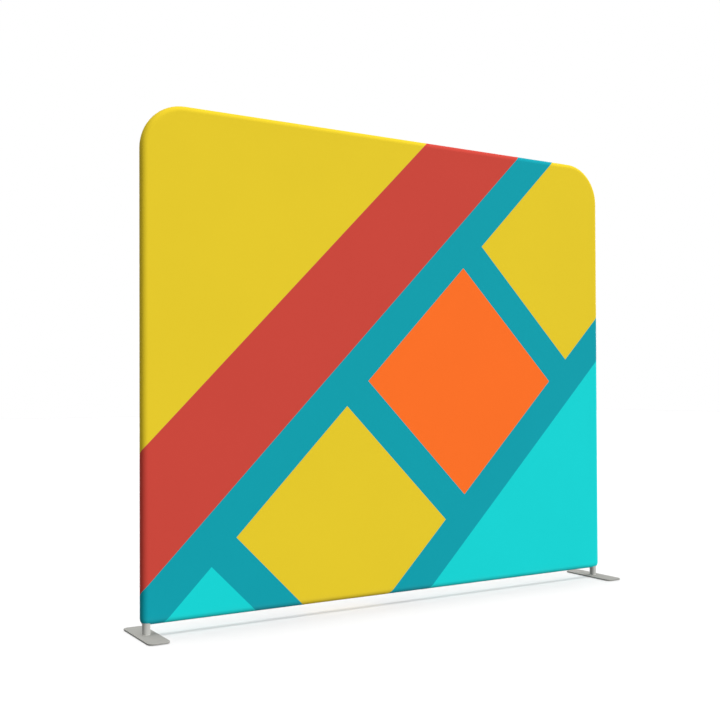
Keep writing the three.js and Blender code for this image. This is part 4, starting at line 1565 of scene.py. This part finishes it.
@dataclass
class Zip:
    """The closed zip along the foot of the back: tapes, coils, slider, pull and end stops."""

    line: float = 0.0931
    half: float = 1.1450
    coil_half: float = 1.1350
    back: float = 0.0251
    park: float = -1.1230
    tooth_pitch: float = 0.0026
    coil_points: int = 7
    coil_wire: float = 0.00042
    coil_depth: float = 0.00115
    coil_off: float = 0.00178
    coil_reach: float = 0.00120
    tape_step: float = 0.03
    stop_past: float = 2.3 * MM
    grip_ribs: int = 4
    # A tape's profile in millimetres: away from the zip's line, and back from the wall's middle.
    tape_profile: tuple[Flat, ...] = (
        (0.15, 24.85), (0.35, 25.05), (3.9, 25.05), (4.2, 25.22), (4.8, 25.22), (5.1, 25.05),
        (13.4, 25.05), (13.65, 24.85), (13.65, 24.5), (13.4, 24.4), (0.35, 24.4), (0.15, 24.5),
    )

    def on_back(self, x: float) -> Callable[[Flat, float], Point]:
        """Places an outline on the wall's back, about a point of the zip."""
        return lambda point, level: (x + point[0], level, self.line + point[1])

    def tape(self, name: str, up: float) -> bpy.types.Object:
        """Makes one tape, with the raised cord beside its coil.

        Args:
            name: The piece's name.
            up: 1 above the zip's line and -1 below it.

        Returns:
            The tape.
        """
        draft = Draft()
        stations = spaced(-self.half, self.half, self.tape_step)
        draft.skin([
            [(x, y / 1000, self.line + up * z / 1000) for z, y in self.tape_profile] for x in stations
        ])
        draft.map_cloth(lambda point: (point.x, point.z))
        draft.outward()
        return draft.finished(name, ZIP_TAPE)

    def coil(self, name: str, up: float) -> bpy.types.Object:
        """Makes one side's coil: a monofilament wound along the tape's edge.

        Args:
            name: The piece's name.
            up: 1 above the zip's line and -1 below it, where it is wound half a turn out of phase.

        Returns:
            The coil.
        """
        turns = round(2 * self.coil_half / self.tooth_pitch)
        points, path = self.coil_points, []
        for k in range(turns * points + 1):
            angle = math.tau * k / points + (math.pi if up < 0 else 0.0)
            x = -self.coil_half + 2 * self.coil_half * k / (turns * points)
            away = self.coil_off + self.coil_reach * math.cos(angle)
            path.append((x, self.back + self.coil_depth * math.sin(angle), self.line + up * away))
        draft = Draft()
        draft.tube(path, self.coil_wire, 4)
        return draft.finished(name, COIL, sharp=80.0)

    def slider(self) -> bpy.types.Object:
        """Makes the slider: two plates with flanges, the wedge between the coils, and its stud.

        Returns:
            The slider.
        """
        draft, place = Draft(), self.on_back(self.park)
        body = [(7.0, 3.9), (1.0, 5.5), (-4.6, 5.5), (-7.0, 4.6)]
        ring = [(x * MM, z * MM) for x, z in body + [(x, -z) for x, z in reversed(body)]]
        outline = rounded_corners(ring, 1.3 * MM, 4)
        for low, high in ((26.9, 28.5), (21.2, 22.8)):
            draft.slab(outline, low * MM, high * MM, 0.45 * MM, place)
        for up in (-1.0, 1.0):
            shifted = moved(rounded_panel(9.0 * MM, 0.8 * MM, 0.39 * MM, 3), -1.6 * MM, up * 4.9 * MM)
            draft.slab(shifted, 25.7 * MM, 27.1 * MM, 0.2 * MM, place)
            draft.slab(shifted, 22.6 * MM, 23.9 * MM, 0.2 * MM, place)
        wedge = moved(rounded_panel(3.0 * MM, 0.2 * MM, 0.09 * MM, 3), -4.5 * MM, 0.0)
        draft.slab(wedge, 22.4 * MM, 27.2 * MM, 0.03 * MM, place)
        draft.slab(arc(0.0, 0.0, 1.2 * MM, 0.0, 345.0, 23), 28.2 * MM, 30.6 * MM, 0.2 * MM, place)
        draft.slab(arc(0.0, 0.0, 2.8 * MM, 0.0, 345.0, 23), 30.3 * MM, 31.3 * MM, 0.45 * MM, place)
        draft.outward()
        return draft.finished("slider_body", ZIP_METAL, merge=FINE)

    def pull(self) -> bpy.types.Object:
        """Makes the pull: a flat tongue on the stud, with grip ribs near its end.

        Returns:
            The tongue. The ribs are a piece of their own, which it seats.
        """
        draft, place = Draft(), self.on_back(self.park)
        eye = arc(0.0, 0.0, 3.4 * MM, 10.0, 170.0, 12)
        waist = [EdgePoint(-2.7 * MM, -7.0 * MM, -1.0, 0.0), EdgePoint(-3.4 * MM, -15.0 * MM, -1.0, 0.0)]
        end = arc(0.0, -24.5 * MM, 3.5 * MM, 180.0, 360.0, 14)
        mirrored = [EdgePoint(-p.x, p.y, -p.out_x, p.out_y) for p in reversed(waist)]
        draft.slab(eye + waist + end + mirrored, 28.8 * MM, 30.0 * MM, 0.35 * MM, place)
        draft.outward()
        obj = draft.finished("pull_tab", ZIP_METAL, merge=FINE)
        tool = Draft()
        eye_hole = arc(0.0, 0.0, 1.8 * MM, 0.0, 345.0, 23)
        tool.skin([[place((p.x, p.y), level) for p in eye_hole] for level in (0.028, 0.031)])
        tool.outward()
        carve(obj, tool)
        ribs = Draft()
        for k in range(self.grip_ribs):
            rib = moved(rounded_panel(4.4 * MM, 0.7 * MM, 0.34 * MM, 3), 0.0, -(18.0 + 2.2 * k) * MM)
            ribs.slab(rib, 29.9 * MM, 30.25 * MM, 0.14 * MM, place)
        ribs.outward()
        seat(ribs.finished("pull_grip", ZIP_METAL, merge=FINE), "zip_pull", "zip_metal")
        return obj

    def stop(self, side: Side) -> bpy.types.Object:
        """Makes an end stop, clamped over both tapes.

        Args:
            side: The end of the wall.

        Returns:
            The stop.
        """
        draft, middle = Draft(), side.sign * (self.coil_half + self.stop_past)
        outline = rounded_panel(4.0 * MM, 6.6 * MM, 0.9 * MM, 4)
        draft.slab(outline, 25.4 * MM, 26.6 * MM, 0.4 * MM, self.on_back(middle))
        draft.outward()
        return draft.finished(f"{side.value}_end_stop", ZIP_METAL, merge=FINE)

    def build(self) -> None:
        """Makes the zip."""
        for name, up in (("upper", 1.0), ("lower", -1.0)):
            seat(self.tape(f"{name}_tape", up), "frame", "zip_tape", f"zip_side_{name}")
            seat(self.coil(f"{name}_coil", up), "frame", "zip_tape")
        seat(self.slider(), "zip_slider", "zip_metal", "zip_slider")
        seat(self.pull(), "zip_pull", "zip_metal", "zip_pull")
        for side in Side:
            seat(self.stop(side), "frame", "zip_metal", f"zip_stop_{side.value}")


ANGLE_ROUNDING = 1e-9


def rounded_corners(points: Sequence[Flat], radius: float, steps: int) -> list[EdgePoint]:
    """Rounds the corners of a convex polygon.

    Args:
        points: Its corners, counterclockwise.
        radius: The radius of the round.
        steps: How many sides each round has.

    Returns:
        Its outline.
    """
    outline = []
    count = len(points)
    for i, (x, y) in enumerate(points):
        before, after = points[i - 1], points[(i + 1) % count]
        a = math.atan2(-(x - before[0]), y - before[1])
        b = math.atan2(-(after[0] - x), after[1] - y)
        a += math.pi if points_inward(points, before, (x, y), a) else 0.0
        b += math.pi if points_inward(points, (x, y), after, b) else 0.0
        while b < a - ANGLE_ROUNDING:
            b += math.tau
        half = (b - a) / 2
        away = radius / math.cos(half)
        middle = (a + b) / 2
        cx, cy = x - away * math.cos(middle), y - away * math.sin(middle)
        outline += arc(cx, cy, radius, math.degrees(a), math.degrees(b), steps)
    return outline


def points_inward(points: Sequence[Flat], start: Flat, end: Flat, angle: float) -> bool:
    """Tells whether a side's normal points into the polygon and has to be turned round.

    Args:
        points: The polygon.
        start: Where the side starts.
        end: Where the side ends.
        angle: The normal's angle.

    Returns:
        Whether it points inward.
    """
    cx = sum(p[0] for p in points) / len(points)
    cy = sum(p[1] for p in points) / len(points)
    mx, my = (start[0] + end[0]) / 2 - cx, (start[1] + end[1]) / 2 - cy
    return mx * math.cos(angle) + my * math.sin(angle) < 0


# ---------------------------------------------------------------- feet


@dataclass
class Foot:
    """A flat foot plate that swivels under the stem it carries."""

    side: Side
    span: float = 1.1949
    length: float = 0.310
    width: float = 0.090
    corner: float = 0.022
    pad_top: float = 0.0017
    low: float = 0.0020
    high: float = 0.0080
    stem: float = 0.016
    stem_bore: float = 0.013
    stem_low: float = 0.0096
    stem_top: float = 0.1228
    screw_hole: float = 0.0046
    plate_bevel: float = 0.0010
    sink_radius: float = 0.0093
    sink_depth: float = 0.0047
    button_radius: float = 0.0041
    button_level: float = 0.1071
    solid_foot: float = 0.0140
    socket_radius: float = 0.0034
    socket_ends: Flat = (0.001, 0.0053)
    pad_length: float = 0.034
    pad_inset: float = 0.018
    pad_corner: float = 0.013
    pad_away: float = 0.128
    round_sides: int = 40
    turned_sides: int = 64

    @property
    def middle(self) -> Flat:
        """The middle of the stem, on the floor."""
        return (self.side.sign * self.span, 0.0)

    def shifted(self, outline: Sequence[EdgePoint], along: float = 0.0) -> list[EdgePoint]:
        """An outline moved under the stem, and some way to the back."""
        return moved(outline, self.middle[0], along)

    def name(self, part: str) -> str:
        """A part's name on this side."""
        return f"{self.side.value}_{part}"

    def plate(self) -> bpy.types.Object:
        """Makes the steel plate, countersunk from below for its screw.

        Returns:
            The plate.
        """
        draft = Draft()
        outline = self.shifted(rounded_panel(self.width, self.length, self.corner, 12))
        draft.slab(outline, self.low, self.high, self.plate_bevel, upright)
        obj = draft.finished(self.name("plate"), POWDER_COAT)
        tool = Draft()
        profile = (
            (self.sink_radius, 0.0010), (self.sink_radius, self.low),
            (self.screw_hole, self.low + self.sink_depth), (self.screw_hole, 0.0100),
        )
        tool.skin([level_ring(self.middle, r, z, self.round_sides) for r, z in profile])
        carve(obj, tool, 30.0)
        return obj

    def post(self) -> bpy.types.Object:
        """Makes the turned stem, with its solid foot, its chamfers and the hole for its snap button.

        Returns:
            The stem.
        """
        draft, r, b = Draft(), self.stem, self.stem_bore
        low, top = self.stem_low, self.stem_top
        profile = [
            (self.screw_hole, low), (r - 0.0016, low), (r - 0.0006, low), (r - 0.00018, low + 0.00018),
            (r, low + 0.0006), (r, low + 0.0016), (r, top - 0.0030), (r, top - 0.0015), (r - 0.0015, top), (b, top),
            (b, low + self.solid_foot), (self.screw_hole, low + self.solid_foot),
        ]
        draft.turned(profile, self.middle, self.turned_sides)
        draft.outward()
        # The stem gets the lighter copy of the powder coat, painted light against the shade under the wall.
        obj = draft.finished(self.name("stem"), STEM_COAT_PAINTED_LIGHTER, sharp=35.0)
        tool = Draft()
        inward, (x, _) = -self.side.sign, self.middle
        button, turns = self.button_radius, [math.tau * k / 24 for k in range(24)]
        ring = [(button * math.cos(a), self.button_level + button * math.sin(a)) for a in turns]
        tool.skin([[(x + inward * out, y, z) for y, z in ring] for out in (0.002, 0.025)])
        tool.outward()
        carve(obj, tool, 35.0)
        return obj

    def washer(self) -> bpy.types.Object:
        """Makes the nylon washer that the stem turns on.

        Returns:
            The washer.
        """
        draft, r = Draft(), self.stem - 0.0002
        profile = [
            (self.screw_hole, 0.0083), (r - 0.0002, 0.0083), (r, 0.0085),
            (r, 0.0091), (r - 0.0002, 0.0093), (self.screw_hole, 0.0093),
        ]
        draft.turned(profile, self.middle, self.turned_sides)
        draft.outward()
        return draft.finished(self.name("washer"), NYLON)

    def screw(self) -> bpy.types.Object:
        """Makes the countersunk screw with its hexagon socket.

        Returns:
            The screw.
        """
        rim = (
            (0.0084, 0.0023), (0.0087, 0.0024), (0.0087, 0.0027),
            (0.0043, 0.0070), (0.0043, 0.0215), (0.0038, 0.0223),
        )
        draft = Draft()
        draft.skin([level_ring(self.middle, r, z, self.round_sides) for r, z in rim])
        obj = draft.finished(self.name("screw"), SPRING_STEEL, sharp=30.0)
        tool = Draft()
        tool.skin([level_ring(self.middle, self.socket_radius, z, 6) for z in self.socket_ends])
        carve(obj, tool, 30.0)
        return obj

    def pad(self, end: float, name: str) -> bpy.types.Object:
        """Makes a rubber pad under one end of the plate.

        Args:
            end: -1 at the front and 1 at the back.
            name: The pad's name.

        Returns:
            The pad.
        """
        draft = Draft()
        outline = rounded_panel(self.width - self.pad_inset, self.pad_length, self.pad_corner, 8)
        draft.slab(self.shifted(outline, end * self.pad_away), 0.0, self.pad_top, 0.0003, upright)
        return draft.finished(self.name(name), RUBBER)

    def build(self) -> None:
        """Makes the foot: its stem and washer stay with the frame, and the rest swivels."""
        swivel = f"{self.side.value}_foot"
        seat(self.plate(), swivel, "powder_coat", self.name("foot_plate"))
        seat(self.screw(), swivel, "spring_steel", self.name("foot_screw"))
        seat(self.post(), "frame", "powder_coat", self.name("foot_stem"))
        seat(self.washer(), "frame", "nylon_washer", self.name("foot_washer"))
        for end, name in ((-1.0, "front"), (1.0, "back")):
            seat(self.pad(end, f"pad_{name}"), swivel, "rubber_pad", self.name(f"foot_pad_{name}"))


# ---------------------------------------------------------------- tube frame


@dataclass
class TubeFrame:
    """The plug-together frame inside the cover, whose CAD pieces keep their shapes."""

    moulded: tuple[str, ...] = ("bottom_corner", "tee", "centre_post_coupler")
    sprung: str = "snap"

    def finish(self, name: str) -> Finish:
        """Picks the finish of a CAD piece.

        Args:
            name: The piece's name.

        Returns:
            Its finish.
        """
        if self.sprung in name:
            return SPRING_STEEL
        return MOULDED if any(part in name for part in self.moulded) else ANODISED

    def build(self) -> None:
        """Dresses every CAD piece that still shows."""
        for name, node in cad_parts.items():
            if node.hide_render:
                continue
            for material_slot in node.material_slots:
                material_slot.material = self.finish(name).material()
            log.info("%-22s dressed as %s", name, self.finish(name).name)


# ---------------------------------------------------------------- studio


@dataclass(frozen=True)
class Lamp:
    """A broad distant light: the way to it, its strength, and its width in degrees."""

    name: str
    towards: Point
    strength: float
    spread: float
    shadow: bool = False


@dataclass
class Studio:
    """A plain pale floor, soft light, and the camera of the photograph."""

    floor_size: float = 30.0
    floor_cell: float = 6.0
    floor_level: float = -0.0002
    floor_white: float = 0.71
    ambient: float = 0.30
    focal: float = 1002.9
    middle: Flat = (349.24, 376.55)
    width: float = 720.0
    yaw: float = 0.54409
    pitch: float = 0.01333
    tilt: float = 0.00375
    eye: Point = (-2.5478, -3.7749, 0.9606)
    lamps: tuple[Lamp, ...] = (
        Lamp("overhead", (-0.04, 0.0, 1.0), 1.9, 28.0, shadow=True),
        Lamp("frontal", (0.42, -1.0, 0.45), 3.3, 40.0),
        Lamp("rim", (1.0, 0.45, 0.22), 2.0, 40.0),
        Lamp("fill", (-0.35, 1.0, 0.30), 1.2, 60.0),
    )

    def floor(self) -> None:
        """The floor, a shade below the pads."""
        lines = spaced(-self.floor_size, self.floor_size, self.floor_cell)
        draft, level = Draft(), self.floor_level
        for left, right in zip(lines, lines[1:]):
            for near, far in zip(lines, lines[1:]):
                draft.face([(left, near, level), (right, near, level), (right, far, level), (left, far, level)])
        white = (self.floor_white, self.floor_white, self.floor_white, 1.0)
        draft.finished("studio_floor", StudioFloor("studio_floor", white))

    def world(self) -> None:
        """White behind the object, and a softer light from all round."""
        world = bpy.data.worlds.new("studio")
        bpy.context.scene.world = world
        world.use_nodes = True
        world.node_tree.nodes.clear()
        graph = Graph(world.node_tree)
        seen = graph.node("ShaderNodeLightPath").outputs["Is Camera Ray"]
        background = graph.node("ShaderNodeBackground")
        background.inputs["Color"].default_value = (1.0, 1.0, 1.0, 1.0)
        level = graph.node("ShaderNodeMapRange")
        for socket, value in zip(level.inputs, (seen, 0.0, 1.0, self.ambient, 1.0)):
            graph.feed(socket, value)
        graph.feed(background.inputs["Strength"], level.outputs[0])
        graph.feed(graph.node("ShaderNodeOutputWorld").inputs["Surface"], background.outputs[0])

    def hang(self, lamp: Lamp) -> None:
        """Adds a lamp to the scene.

        Args:
            lamp: The lamp.
        """
        light = bpy.data.lights.new(lamp.name, "SUN")
        light.energy, light.angle = lamp.strength, math.radians(lamp.spread)
        obj = bpy.data.objects.new(lamp.name, light)
        obj.rotation_mode = "QUATERNION"
        obj.rotation_quaternion = Vector(lamp.towards).to_track_quat("Z", "Y")
        bpy.context.scene.collection.objects.link(obj)
        light.use_shadow = lamp.shadow

    def camera(self) -> None:
        """The camera, where the photograph's outline of the wall puts it."""
        lens = bpy.data.cameras.new("photo_camera")
        lens.sensor_width = 36.0
        lens.lens = self.focal / self.width * lens.sensor_width
        lens.shift_x = (self.width / 2 - self.middle[0]) / self.width
        lens.shift_y = (self.middle[1] - self.width / 2) / self.width
        lens.clip_start, lens.clip_end = 0.05, 200.0
        obj = bpy.data.objects.new("photo_camera", lens)
        obj.location = self.eye
        obj.rotation_euler = (math.pi / 2 + self.pitch, self.tilt, -self.yaw)
        bpy.context.scene.collection.objects.link(obj)
        bpy.context.scene.camera = obj

    def build(self) -> None:
        """Sets up the floor, the lights and the camera."""
        self.floor()
        self.world()
        for lamp in self.lamps:
            self.hang(lamp)
        self.camera()
        view = bpy.context.scene.view_settings
        view.view_transform, view.look, view.exposure, view.gamma = "Standard", "None", 0.0, 1.0


def main() -> None:
    """Builds every sub-assembly in order."""
    logging.basicConfig(level=logging.INFO, format="%(message)s")
    Studio().build()
    Cover().build()
    Zip().build()
    for side in Side:
        Foot(side).build()
    TubeFrame().build()


if __name__ == "__main__":
    main()
